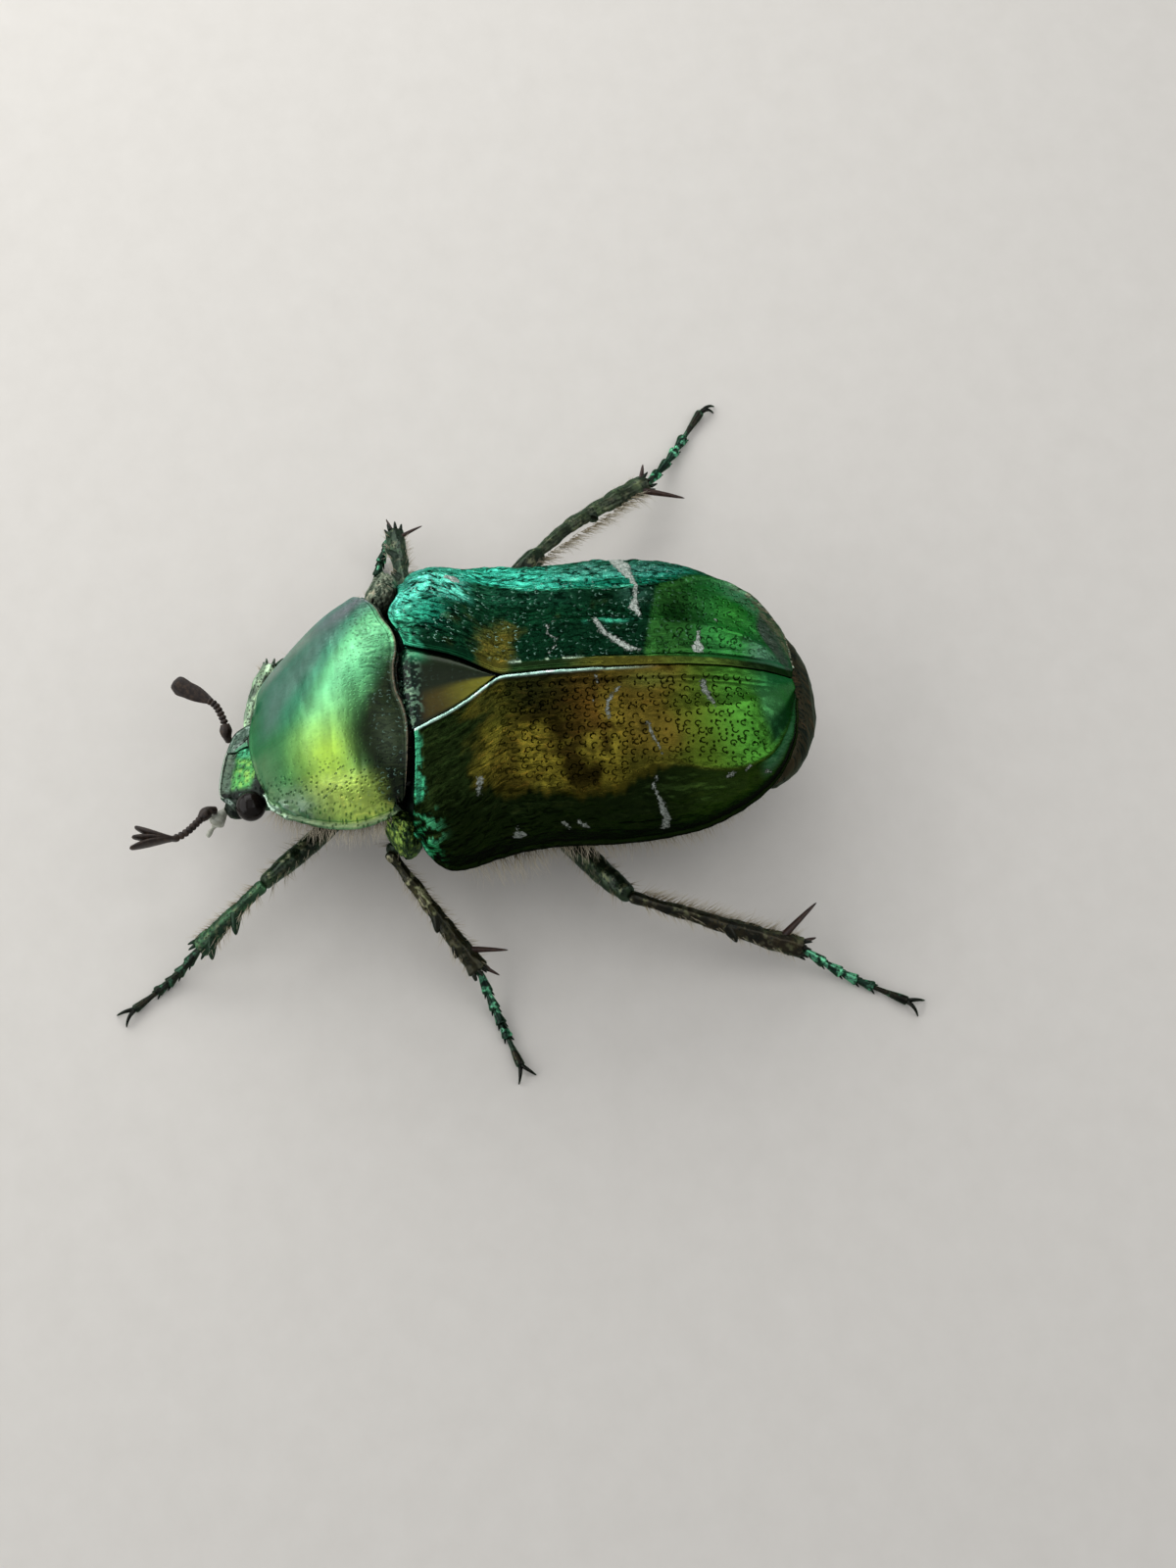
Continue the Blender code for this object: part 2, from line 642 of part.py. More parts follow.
def build_leg(name, teeth, spurs, spread, sag=(0, 0, 0), foot_start=None):
    pair, side_name = name.split("_")
    side = 1 if side_name == "left" else -1
    hip, knee, ankle, toe = LEGS[name]
    x, y, z = HIP_CENTRE[pair]
    size = HIP_SIZE[pair]
    reach = (Vector(knee) - Vector(hip)).normalized()
    ellipsoid(name + "_coxa", (side * x, y, z), size, "leg", 10, 6)
    cavity = ellipsoid("cavity_" + name, (side * x, y, z), [r + CUT for r in size], "leg", 10, 6,
                       collection=CUTTERS)
    keep_as_cutter(cavity)
    build_femur(name, pair, hip, knee)
    tibia_direction = build_tibia(name, pair, side, knee, ankle, reach, teeth, spurs)
    build_foot(name, ankle, toe, tibia_direction, spread, sag, foot_start)
    return cavity


# ---------------------------------------------------------------- assembly
def build_all():
    build_elytron("elytron_left", 1)
    build_elytron("elytron_right", -1)
    build_pronotum()
    prothorax = build_prothorax()
    build_scutellum()
    thorax = build_thorax()
    abdomen = build_abdomen()
    build_pygidium()
    build_mesepimeron("mesepimeron_left", 1)
    build_mesepimeron("mesepimeron_right", -1)
    head = build_head()
    build_eyes(head)
    build_palp("palp_left", 1)
    build_palp("palp_right", -1)

    build_antenna("left")
    build_antenna("right")

    front_teeth = ((0.82, 0.14), (0.46, 0.14))
    cavities = {
        "front_left": build_leg("front_left", front_teeth, (), (42, -42)),
        "front_right": build_leg("front_right", front_teeth, (), (42, -42), sag=(-0.4, -0.25, 0)),
        "middle_left": build_leg("middle_left", ((0.55, 0.25),),
                                 ((0.8, (0.1, 1.3, -0.1)), (0.35, (0.45, 0.75, -0.1))), (60, -50)),
        "middle_right": build_leg("middle_right", ((0.55, 0.25),),
                                  ((0.35, (-0.4, 0.85, 0)), (0.3, (-0.7, -0.25, 0))), (42, -42),
                                  sag=(-0.35, -0.25, 0), foot_start=(-8.0, 6.7, 0.42)),
        "hind_left": build_leg("hind_left", ((0.55, 0.25),), ((0.8, (-0.85, 1.15, 0.1)),), (50, -50)),
        "hind_right": build_leg("hind_right", ((0.58, 0.3),),
                                ((0.5, (0.35, 1.5, -0.15)), (0.3, (-0.75, 0.15, 0.1))), (42, -42)),
    }
    bodies = {"front": (prothorax,), "middle": (thorax,), "hind": (thorax, abdomen)}
    for name, cavity in cavities.items():
        for body in bodies[name.split("_")[0]]:
            boolean(body, cavity, "DIFFERENCE")


def centre_on_floor():
    """Move everything so that the origin is the middle of the bounding box, on the floor."""
    depsgraph = bpy.context.evaluated_depsgraph_get()
    low = [math.inf] * 2
    high = [-math.inf] * 2
    for obj in PARTS.objects:
        mesh = obj.evaluated_get(depsgraph).data
        for vertex in mesh.vertices:
            for axis in range(2):
                low[axis] = min(low[axis], vertex.co[axis])
                high[axis] = max(high[axis], vertex.co[axis])
    shift = Vector((-(low[0] + high[0]) / 2, -(low[1] + high[1]) / 2, 0))
    for obj in list(PARTS.objects) + list(CUTTERS.objects):
        obj.location = shift


build_all()
centre_on_floor()
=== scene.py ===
"""Looks of the rose chafer: shell plates, limbs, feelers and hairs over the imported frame.

Lengths are millimetres in the beetle's own frame, as in the part: +X is its left, +Y its
tail, +Z up, and the floor is Z = 0. `place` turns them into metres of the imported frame.
"""
import math

import bpy
import numpy as np
from mathutils import Matrix, Vector


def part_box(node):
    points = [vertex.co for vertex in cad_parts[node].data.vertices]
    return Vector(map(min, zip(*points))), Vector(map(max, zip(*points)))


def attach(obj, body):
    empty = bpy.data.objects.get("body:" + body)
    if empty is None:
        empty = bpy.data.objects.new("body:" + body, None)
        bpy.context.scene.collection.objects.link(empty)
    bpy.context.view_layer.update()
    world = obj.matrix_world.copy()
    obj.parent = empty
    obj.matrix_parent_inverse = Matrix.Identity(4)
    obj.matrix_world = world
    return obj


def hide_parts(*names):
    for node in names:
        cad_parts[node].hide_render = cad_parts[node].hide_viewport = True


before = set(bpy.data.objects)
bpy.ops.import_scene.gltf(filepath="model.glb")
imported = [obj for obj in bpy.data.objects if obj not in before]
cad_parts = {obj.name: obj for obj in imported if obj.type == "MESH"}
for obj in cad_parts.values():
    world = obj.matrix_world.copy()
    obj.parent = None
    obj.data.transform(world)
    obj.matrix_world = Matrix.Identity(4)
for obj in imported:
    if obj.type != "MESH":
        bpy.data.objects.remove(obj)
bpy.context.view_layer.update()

MM = 0.001
UP = np.array((0.0, 0.0, 1.0))
WHOLE = (0, 0, 1, 1)        # tile that covers a whole unwrap


# ---------------------------------------------------------------- numbers and curves
def lerp(a, b, t):
    return a + (b - a) * t


def smooth(x, start, end):
    """0 before start, 1 after end, and a soft step in between; start may be the larger."""
    t = np.clip((x - start) / (end - start), 0.0, 1.0)
    return t * t * (3 - 2 * t)


def hill(x, centre, width):
    return np.exp(-((x - centre) / width) ** 2)


def curve(t, knots):
    """Smooth value at t through (t, value) knots, held constant past the ends."""
    at, values = np.array(knots, float).T
    last = len(at) - 1
    after = np.append(np.arange(1, last + 1), last)
    before = np.insert(np.arange(last), 0, 0)
    slope = (values[after] - values[before]) / (at[after] - at[before])
    t = np.clip(t, at[0], at[-1])
    i = np.clip(np.searchsorted(at, t, side="left") - 1, 0, last - 1)
    h = at[i + 1] - at[i]
    q = (t - at[i]) / h
    return ((2 * q ** 3 - 3 * q ** 2 + 1) * values[i] + (q ** 3 - 2 * q ** 2 + q) * h * slope[i]
            + (3 * q ** 2 - 2 * q ** 3) * values[i + 1] + (q ** 3 - q ** 2) * h * slope[i + 1])


def power(value, exponent):
    return np.sign(value) * np.abs(value) ** exponent


def unit(v):
    v = np.asarray(v, float)
    return v / np.maximum(np.linalg.norm(v, axis=-1, keepdims=True), 1e-12)


def noise(points, seed=0):
    """Smooth random values from -1 to 1, one lattice cell per unit."""
    cell = np.floor(points).astype(np.int64)
    part = points - cell
    part = part * part * (3 - 2 * part)
    total = np.zeros(points.shape[:-1])
    for dx in (0, 1):
        for dy in (0, 1):
            for dz in (0, 1):
                key = (cell[..., 0] + dx) * 73856093 ^ (cell[..., 1] + dy) * 19349663
                key = (key ^ (cell[..., 2] + dz) * 83492791 ^ (seed + 1) * 2654435) & 0x7FFFFFFF
                key = ((key ^ (key >> 13)) * 1274126177) & 0x7FFFFFFF
                value = ((key ^ (key >> 16)) & 0xFFFF) / 32767.5 - 1
                weight = np.abs(1 - dx - part[..., 0]) * np.abs(1 - dy - part[..., 1])
                total += value * weight * np.abs(1 - dz - part[..., 2])
    return total


def fractal(points, octaves, seed=0):
    total, size = 0.0, 1.0
    for k in range(octaves):
        total = total + noise(points * 2.0 ** k, seed + 17 * k) * size
        size *= 0.5
    return total


def field(x, y, octaves, seed, level=0.0):
    """Fractal over a flat place; each level is another slice of the same noise."""
    return fractal(np.stack((x, y, x * 0 + level), -1), octaves, seed)


def colour(red, green, blue):
    """Linear colour from the usual 0 to 255 values."""
    c = np.array((red, green, blue)) / 255.0
    return np.where(c <= 0.04045, c / 12.92, ((c + 0.055) / 1.055) ** 2.4)


def blend(first, second, share):
    """Colour that goes from the first, where share is 0, to the second, where it is 1."""
    return lerp(first, second, share[..., None])


def paint(tint, mask, tone):
    """tint with tone laid over it where mask is 1."""
    mask = np.asarray(mask)[..., None]
    return tint * (1 - mask) + np.asarray(tone) * mask


# ---------------------------------------------------------------- driving shapes, as in the part
ELYTRA_FRONT, ELYTRA_BACK = 7.1, 18.22
ELYTRA_HALF = 0.96
ELYTRA_TOP, ELYTRA_APEX, MARGIN_Z = 6.87, 4.8, 4.17
SEAM_GAP = 0.03
SHIELD_HALF = 0.9
SHIELD_FRONT_Z, SHIELD_SIDE_Z, SHIELD_HIND_SIDE_Z, SHIELD_TOP = 3.65, 3.56, 5.36, 6.67
SHIELD_YAW, SHIELD_PIVOT = 3.18, (0.0, 6.8)
SHIELD_LEFT_TRIM = ((0, 0), (0.1, 0.02), (0.3, 0.19), (0.5, 0.33), (0.7, 0.44), (0.9, 0.6), (1, 0.63))
SHIELD_LEFT_LEAD = ((0, 0), (0.7, 0), (0.8, 0.05), (0.9, 0.15), (1, 0.4))
HEAD_FRONT, HEAD_YAW = (0.35, 1.33), 12.0
EYE_RADIUS, EYE_SIDE, EYE_BACK, EYE_Z = 0.42, 1.10, 1.05, 2.5
PAD_Z = 0.21
HALF_WIDTH = ((0, 3.9), (0.04, 4.5), (0.1, 4.8), (0.22, 4.6), (0.36, 4.45), (0.55, 4.5),
              (0.72, 4.2), (0.86, 3.2), (0.95, 1.9), (1, 0.5))


def elytra_half_width(s):
    return ELYTRA_HALF * curve(s, HALF_WIDTH)


def elytra_margin_z(s):
    return curve(s, ((0, MARGIN_Z + 0.6), (0.1, MARGIN_Z - 0.3), (0.3, MARGIN_Z), (0.6, MARGIN_Z - 0.1),
                     (0.85, MARGIN_Z - 0.1), (1, ELYTRA_APEX - 0.35)))


def elytra_seam_z(s):
    top, apex = ELYTRA_TOP, ELYTRA_APEX
    return curve(s, ((0, top - 0.25), (0.25, top), (0.5, top - 0.1), (0.75, lerp(top, apex, 0.25)),
                     (0.92, lerp(top, apex, 0.65)), (1, apex)))


def elytra_inner_x(y):
    return curve(y - ELYTRA_FRONT, ((0.1, 1.35), (1.5, 0.75), (2.6, 0.08), (2.9, SEAM_GAP), (12, SEAM_GAP)))


def elytra_margin_y(s):
    front, back = ELYTRA_FRONT, ELYTRA_BACK
    length = back - front
    return curve(s, ((0, front - 0.1), (0.1, front + 0.9), (0.36, front + 0.345 * length),
                     (0.55, front + 0.55 * length), (0.72, front + 0.745 * length),
                     (0.86, front + 0.91 * length), (0.95, front + 0.99 * length), (1, back + 0.12)))


def elytron_point(s, u, side):
    """Wing case from front (s = 0) to back (1) and from the seam (u = 0) to the margin (1)."""
    angle = u * math.pi / 2
    sine, cosine = np.sin(angle), np.maximum(np.cos(angle), 0.0)
    seam_y = lerp(ELYTRA_FRONT + 0.15, ELYTRA_BACK, s)
    inner = np.maximum(SEAM_GAP, elytra_inner_x(seam_y))
    low, high = elytra_margin_z(s), elytra_seam_z(s)
    return np.stack((side * lerp(inner, elytra_half_width(s), sine ** 0.76),
                     lerp(seam_y, elytra_margin_y(s), sine ** 1.5),
                     low + (high - low) * cosine ** 0.8), -1)


def shield_point(s, u, inset=0.0):
    """Shield from front (s = 0) to back (1) and from the right edge (u = -1) to the left (1)."""
    half = SHIELD_HALF * curve(s, ((0, 1.5), (0.08, 2.1), (0.3, 3.0), (0.55, 3.8), (0.8, 4.15),
                                   (0.95, 4.15), (1, 4.05)))
    side_y = curve(s, ((0, 2.6), (0.08, 2.75), (0.3, 3.7), (0.55, 4.9), (0.8, 5.9), (1, 6.5)))
    half = half - (u > 0) * curve(s, SHIELD_LEFT_TRIM)
    side_y = side_y - (u > 0) * curve(s, SHIELD_LEFT_LEAD)
    mid_y = lerp(2.3, 6.75, s)
    front, top = SHIELD_FRONT_Z, SHIELD_TOP
    high = curve(s, ((0, front), (0.2, lerp(front, top, 0.42)), (0.5, lerp(front, top, 0.85)),
                     (0.8, top), (1, top)))
    low = curve(s, ((0, SHIELD_SIDE_Z - 0.1), (0.3, SHIELD_SIDE_Z),
                    (0.6, lerp(SHIELD_SIDE_Z, SHIELD_HIND_SIDE_Z, 0.4)), (1, SHIELD_HIND_SIDE_Z)))
    sine, cosine = np.sin(u * math.pi / 2), np.maximum(np.cos(u * math.pi / 2), 0.0)
    x = (half - inset) * power(sine, 0.9)
    y = lerp(mid_y, side_y, np.abs(sine) ** 1.6) - SHIELD_PIVOT[1]
    z = low + (high - inset - low) * cosine ** 0.85
    turn = math.radians(SHIELD_YAW)
    return np.stack((math.cos(turn) * x - math.sin(turn) * y,
                     SHIELD_PIVOT[1] + math.sin(turn) * x + math.cos(turn) * y, z), -1)


def head_point(across, back, z):
    """Head coordinates: across to the left, back from the clypeus edge, height."""
    turn = math.radians(HEAD_YAW)
    across, back, z = np.broadcast_arrays(across, back, z)
    return np.stack((HEAD_FRONT[0] + across * math.cos(turn) + back * math.sin(turn),
                     HEAD_FRONT[1] - across * math.sin(turn) + back * math.cos(turn), z), -1)


EYE_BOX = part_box("eye_left")
SHIFT = (np.array(EYE_BOX[0]) + np.array(EYE_BOX[1])) / 2 - head_point(EYE_SIDE, EYE_BACK, EYE_Z) * MM


def place(points):
    return np.asarray(points, float) * MM + SHIFT


# ---------------------------------------------------------------- shapes
def grid_faces(rows, columns, wrap=False):
    """Quads of a grid whose points run row by row; wrap closes each row into a ring."""
    across = columns if wrap else columns - 1
    r, c = np.meshgrid(np.arange(rows - 1), np.arange(across), indexing="ij")
    r, c = r.ravel(), c.ravel()
    n = (c + 1) % columns
    return np.stack((r * columns + c, r * columns + n, (r + 1) * columns + n, (r + 1) * columns + c), 1)


def grid_normals(grid):
    """Upward normals of a grid of points, by finite differences."""
    normals = unit(np.cross(np.gradient(grid, axis=1), np.gradient(grid, axis=0)))
    return normals if normals[..., 2].mean() >= 0 else -normals


def seen_from_above(grid):
    """Place of each point on its skin in millimetres: tailward, then to the left."""
    return np.stack((grid[..., 1], grid[..., 0], grid[..., 2] * 0), -1)


def unmarked(pits, folds):
    """Marks of a skin without white flecks: its shares of pits and of wrinkles, which get painted shade and
    painted highlight.
    """
    return np.stack(np.broadcast_arrays(pits, folds, 1.0), -1)


def run_length(path):
    """Distance along a path from its first point to each of its points."""
    return np.insert(np.cumsum(np.linalg.norm(np.diff(path, axis=0), axis=1)), 0, 0)


class Shape:
    """Points, faces, corner UVs and point values of one piece, gathered patch by patch."""

    def __init__(self):
        self.points, self.faces, self.uvs, self.values, self.total = [], [], [], {}, 0

    def add_points(self, points, **values):
        points = np.asarray(points, float).reshape(-1, 3)
        start = self.total
        self.points.append(points)
        self.total += len(points)
        for name, value in values.items():
            self.values.setdefault(name, []).append(np.asarray(value, float).reshape(len(points), -1))
        return start

    def add_faces(self, faces, uv, tile):
        """uv holds each corner's place in a unit square, which is fitted to the tile."""
        x0, y0, x1, y1 = tile
        self.faces.append(faces)
        self.uvs.append(np.stack((lerp(x0, x1, uv[..., 0]), lerp(y0, y1, uv[..., 1])), -1))

    def make(self, name, material, slot, nodes=()):
        points = place(np.concatenate(self.points))
        faces = [face for part in self.faces for face in part.tolist()]
        mesh = bpy.data.meshes.new(name)
        mesh.from_pydata(points.tolist(), [], faces)
        layer = mesh.uv_layers.new(name="OFBake")
        layer.data.foreach_set("uv", np.concatenate([uv.reshape(-1, 2) for uv in self.uvs]).ravel())
        for key, parts in self.values.items():
            value = np.concatenate(parts)
            if value.shape[1] == 1:
                kind, field = "FLOAT", "value"
            elif key == "tint":
                kind, field = "FLOAT_COLOR", "color"
                value = np.concatenate((value, np.ones((len(value), 1))), 1)
            else:
                kind, field = "FLOAT_VECTOR", "vector"
            mesh.attributes.new(key, kind, "POINT").data.foreach_set(field, value.ravel())
        mesh.shade_smooth()
        mesh.update()
        piece = bpy.data.objects.new(name, mesh)
        bpy.context.scene.collection.objects.link(piece)
        mesh.materials.append(material)
        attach(piece, "root")
        if nodes:
            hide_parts(*nodes)
        return piece


RIM_BULGE = 0.022           # how far the rounded rim of a plate swells outward


def add_plate(shape, grid, thickness, tint, surf, marks):
    """Plate with a top grid, an underside and a rounded rim between them."""
    rows, columns = grid.shape[:2]
    normals = grid_normals(grid)
    under = grid - normals * thickness
    values = {"tint": tint, "surf": surf, "marks": marks}
    top = shape.add_points(grid, **values)
    # the underside takes the top's colours at 0.3: painted shade under the plate
    bottom = shape.add_points(under, tint=tint * 0.3, surf=surf, marks=marks * 0 + 1)
    faces = grid_faces(rows, columns)
    flip = np.cross(grid[0, 1] - grid[0, 0], grid[1, 0] - grid[0, 0]) @ normals[0, 0] < 0
    ordered = faces[:, ::-1] if flip else faces
    r, c = np.meshgrid(np.linspace(0, 1, rows), np.linspace(0, 1, columns), indexing="ij")
    flat = np.stack((c, r), -1).reshape(-1, 2)
    shape.add_faces(ordered + top, flat[ordered], (0.0, 0.0, 0.62, 0.95))
    shape.add_faces(ordered[:, ::-1] + bottom, flat[ordered[:, ::-1]], (0.64, 0.0, 1.0, 0.95))
    edge = np.concatenate((np.arange(columns), np.arange(2, rows) * columns - 1,
                           (rows - 1) * columns + np.arange(columns - 1, -1, -1),
                           np.arange(rows - 2, 0, -1) * columns))
    count = len(edge)
    flat_top, flat_under = grid.reshape(-1, 3)[edge], under.reshape(-1, 3)[edge]
    along = unit(np.roll(flat_top, -1, 0) - np.roll(flat_top, 1, 0))
    outward = unit(np.cross(along, normals.reshape(-1, 3)[edge]))
    middle = grid.reshape(-1, 3).mean(0)
    if ((flat_top - middle) * outward).sum() < 0:
        outward = -outward
    loops = [top + edge]
    for level in (0.2, 0.5, 0.8):
        ring = lerp(flat_top, flat_under, level) + outward * (RIM_BULGE * math.sin(math.pi * level))
        picked = {key: np.asarray(value, float).reshape(rows * columns, -1)[edge]
                  for key, value in values.items()}
        # the rim takes the top's colours at 0.12: painted shade along the plate's edge
        picked["tint"] = picked["tint"] * 0.12
        loops.append(shape.add_points(ring, **picked) + np.arange(count))
    loops.append(bottom + edge)
    k = np.arange(count)
    n = (k + 1) % count
    for level in range(len(loops) - 1):
        a, b = loops[level], loops[level + 1]
        quads = np.stack((a[k], b[k], b[n], a[n]), 1)
        low, high = level / 4, (level + 1) / 4
        corners = ((k, low), (k, high), (k + 1, high), (k + 1, low))
        uv = np.stack([np.stack((x / count, np.full(count, y)), -1) for x, y in corners], 1)
        if flip:
            quads, uv = quads[:, ::-1], uv[:, ::-1]
        shape.add_faces(quads, uv, (0.0, 0.965, 1.0, 1.0))


def add_tube(shape, rings, tile, tint, surf=None):
    """Closed body through rings of equal count, each end drawn to its middle point."""
    rows, columns = rings.shape[:2]
    caps = rings[[0, -1]].mean(1)
    if surf is None:
        width = np.linalg.norm(rings[rows // 2, 0] - rings[rows // 2, columns // 2])
        around = np.linspace(0, 1, columns, endpoint=False) * width * math.pi
        a, b = np.meshgrid(run_length(rings.mean(1)), around, indexing="ij")
        surf = np.stack((a, b, a * 0), -1)
    tint = np.broadcast_to(tint, (rows, columns, 3))
    start = shape.add_points(rings, tint=tint, surf=surf)
    shape.add_points(caps, tint=tint[[0, -1], 0], surf=surf[[0, -1], 0])
    r, c = np.meshgrid(np.arange(rows - 1), np.arange(columns), indexing="ij")
    r, c = r.ravel(), c.ravel()
    faces = grid_faces(rows, columns, wrap=True)
    corners = ((c, r), (c + 1, r), (c + 1, r + 1), (c, r + 1))
    uv = np.stack([np.stack(corner, -1) for corner in corners], 1) / (columns, rows - 1)
    first = rings[rows // 2, 1] - rings[rows // 2, 0]
    second = rings[min(rows // 2 + 1, rows - 1), 0] - rings[rows // 2, 0]
    outward = rings[rows // 2, 0] - rings[rows // 2].mean(0)
    flip = np.cross(first, second) @ outward < 0
    k = np.arange(columns)
    n = (k + 1) % columns
    for end, base in ((0, 0), (1, (rows - 1) * columns)):
        fan = np.stack((base + n, base + k, np.full(columns, rows * columns + end)), 1)
        if end:
            fan = fan[:, [1, 0, 2]]
        level = np.full(columns, float(end))
        fan_uv = np.stack([np.stack((x / columns, level), -1) for x in (k + 1, k, k + 0.5)], 1)
        if flip:
            fan, fan_uv = fan[:, ::-1], fan_uv[:, ::-1]
        shape.add_faces(fan + start, fan_uv, tile)
    if flip:
        faces, uv = faces[:, ::-1], uv[:, ::-1]
    shape.add_faces(faces + start, uv, tile)


def tile(index, count):
    return (index / count + 0.002, 0.0, (index + 1) / count - 0.002, 1.0)


def rings_along(path, wide, high, sides, up=UP, form=None):
    """Rings round a path; form(t, angle) scales each point's distance from the path."""
    path = np.asarray(path, float)
    count = len(path)
    heading = unit(np.gradient(path, axis=0))
    across = unit(np.cross(heading, np.broadcast_to(up, heading.shape)))
    top = np.cross(across, heading)
    angle = 2 * math.pi * np.arange(sides) / sides
    t = np.linspace(0, 1, count)[:, None]
    scale = np.ones((count, sides)) if form is None else form(t, angle[None, :])
    wide = np.broadcast_to(wide, count)[:, None] * scale * np.cos(angle)
    high = np.broadcast_to(high, count)[:, None] * scale * np.sin(angle)
    return path[:, None] + across[:, None] * wide[..., None] + top[:, None] * high[..., None]


def rounded(t, start=0.06, end=0.06):
    """Radius factor that closes both ends of a limb in a round."""
    a = np.clip(t / start, 0, 1)
    b = np.clip((1 - t) / end, 0, 1)
    return np.sqrt(np.maximum(1 - (1 - a) ** 2, 1e-4)) * np.sqrt(np.maximum(1 - (1 - b) ** 2, 1e-4))


def line(start, end, count):
    return lerp(np.asarray(start, float), np.asarray(end, float), np.linspace(0, 1, count)[:, None])


def spread(points, count):
    """Smooth path of `count` points through the given ones, evenly spaced by length."""
    points = np.asarray(points, float)
    at = np.arange(len(points))
    fine = np.linspace(0, len(points) - 1, 400)
    path = np.stack([curve(fine, list(zip(at, points[:, k]))) for k in range(3)], -1)
    length = run_length(path)
    want = np.linspace(0, length[-1], count)
    return np.stack([np.interp(want, length, path[:, k]) for k in range(3)], -1)


# ---------------------------------------------------------------- materials
class Material:
    """A Principled material and short calls for the nodes that feed it."""

    def __init__(self, name):
        self.material = bpy.data.materials.new(name)
        self.material.use_nodes = True
        self.tree = self.material.node_tree
        self.shader = self.tree.nodes["Principled BSDF"]

    def put(self, socket, value):
        if isinstance(value, bpy.types.NodeSocket):
            self.tree.links.new(value, socket)
        else:
            socket.default_value = value

    def set(self, **values):
        for name, value in values.items():
            self.put(self.shader.inputs[name.replace("_", " ")], value)

    def node(self, kind, **settings):
        made = self.tree.nodes.new("ShaderNode" + kind)
        for key, value in settings.items():
            setattr(made, key, value)
        return made

    def math(self, operation, first, second=0.0, third=0.0):
        made = self.node("Math", operation=operation)
        for socket, value in zip(made.inputs, (first, second, third)):
            self.put(socket, value)
        return made.outputs[0]

    def times(self, first, second):
        return self.math("MULTIPLY", first, second)

    def vector(self, operation, first, second=(0, 0, 0)):
        made = self.node("VectorMath", operation=operation)
        self.put(made.inputs[0], first)
        self.put(made.inputs[1], second)
        return made.outputs["Value" if operation in ("LENGTH", "DOT_PRODUCT") else "Vector"]

    def step(self, value, start, end, low=0.0, high=1.0):
        made = self.node("MapRange", interpolation_type="SMOOTHSTEP")
        for socket, number in zip(made.inputs, (value, start, end, low, high)):
            self.put(socket, number)
        return made.outputs[0]

    def attribute(self, name):
        made = self.node("Attribute", attribute_name=name)
        return made.outputs

    def noise(self, place, scale, detail=3.0, roughness=0.55, distortion=0.0):
        made = self.node("TexNoise")
        self.put(made.inputs["Vector"], place)
        for key, value in (("Scale", scale), ("Detail", detail), ("Roughness", roughness),
                           ("Distortion", distortion)):
            self.put(made.inputs[key], value)
        return made.outputs["Fac"]

    def mix(self, factor, first, second, blend="MIX"):
        made = self.node("Mix", data_type="RGBA", blend_type=blend)
        self.put(made.inputs[0], factor)
        self.put(made.inputs[6], first if isinstance(first, bpy.types.NodeSocket) else (*first, 1.0))
        self.put(made.inputs[7], second if isinstance(second, bpy.types.NodeSocket) else (*second, 1.0))
        return made.outputs[2]

    def toned(self, factor, base, tone):
        """base, multiplied by the tone where the factor is 1."""
        return self.mix(factor, base, self.mix(1.0, base, tone, "MULTIPLY"))

    def bump(self, height):
        """height in millimetres."""
        made = self.node("Bump")
        self.put(made.inputs["Height"], height)
        made.inputs["Distance"].default_value = MM
        return made.outputs[0]

    def punctures(self, place, size, radius, width, opening=None, keep=0.0, randomness=0.6):
        """Mask of pits, one per cell of `size` millimetres: dots, or arcs where opening is set."""
        scaled = self.vector("DIVIDE", place, (*size, 1.0))
        cells = self.node("TexVoronoi", voronoi_dimensions="2D")
        self.put(cells.inputs["Vector"], scaled)
        self.put(cells.inputs["Scale"], 1.0)
        self.put(cells.inputs["Randomness"], randomness)
        offset = self.vector("SUBTRACT", scaled, cells.outputs["Position"])
        distance = self.vector("LENGTH", self.vector("MULTIPLY", offset, (1, 1, 0)))
        chance = self.node("SeparateColor")
        self.put(chance.inputs[0], cells.outputs["Color"])
        if opening is None:
            mask = self.step(distance, radius + width, radius - width)
        else:
            from_ring = self.math("ABSOLUTE", self.math("SUBTRACT", distance, radius))
            mask = self.step(from_ring, width, width * 0.3)
            part = self.node("SeparateXYZ")
            self.put(part.inputs[0], offset)
            turn = self.math("MULTIPLY_ADD", chance.outputs[1], 3.0, -1.5)
            ahead = self.times(part.outputs[0], self.math("COSINE", turn))
            ahead = self.math("MULTIPLY_ADD", part.outputs[1], self.math("SINE", turn), ahead)
            mask = self.times(mask, self.step(ahead, opening, opening - 0.08))
        if keep:
            mask = self.times(mask, self.math("GREATER_THAN", chance.outputs[0], keep))
        return mask


PIT_DEPTH, CHALK_HEIGHT = 0.025, 0.02       # mm
CHALK_ROUGHNESS = 0.7


def wrinkled(m, base, creases, folds):
    """base with painted shade down each crack and painted highlight along each crest of the wrinkles, where
    folds is 1.
    """
    crack_shade = m.times(m.step(creases, 0.50, 0.40), folds)
    crest_highlight = m.times(m.step(creases, 0.56, 0.68), folds)
    # painted shade in the wrinkles, then painted highlight on their tops
    base = m.toned(m.times(crack_shade, 0.9), base, (0.06, 0.08, 0.07))
    return m.toned(crest_highlight, base, (2.2, 1.7, 1.7))


def shell_holes(m, surf, rings, dots):
    """Masks and strengths of the pits: open rings with dots between them, or fine dots alone."""
    holes = []
    if rings:
        holes.append((m.punctures(surf, (0.31, 0.27), 0.27, 0.085, opening=0.16, keep=0.15), rings))
        holes.append((m.punctures(m.vector("ADD", surf, (3.1, 7.7, 0.0)), (0.19, 0.21), 0.16, 0.10,
                                  keep=0.5, randomness=0.9), rings))
    if dots:
        holes.append((m.punctures(surf, (0.15, 0.13), 0.19, 0.12, keep=0.25, randomness=0.95), dots))
    return holes


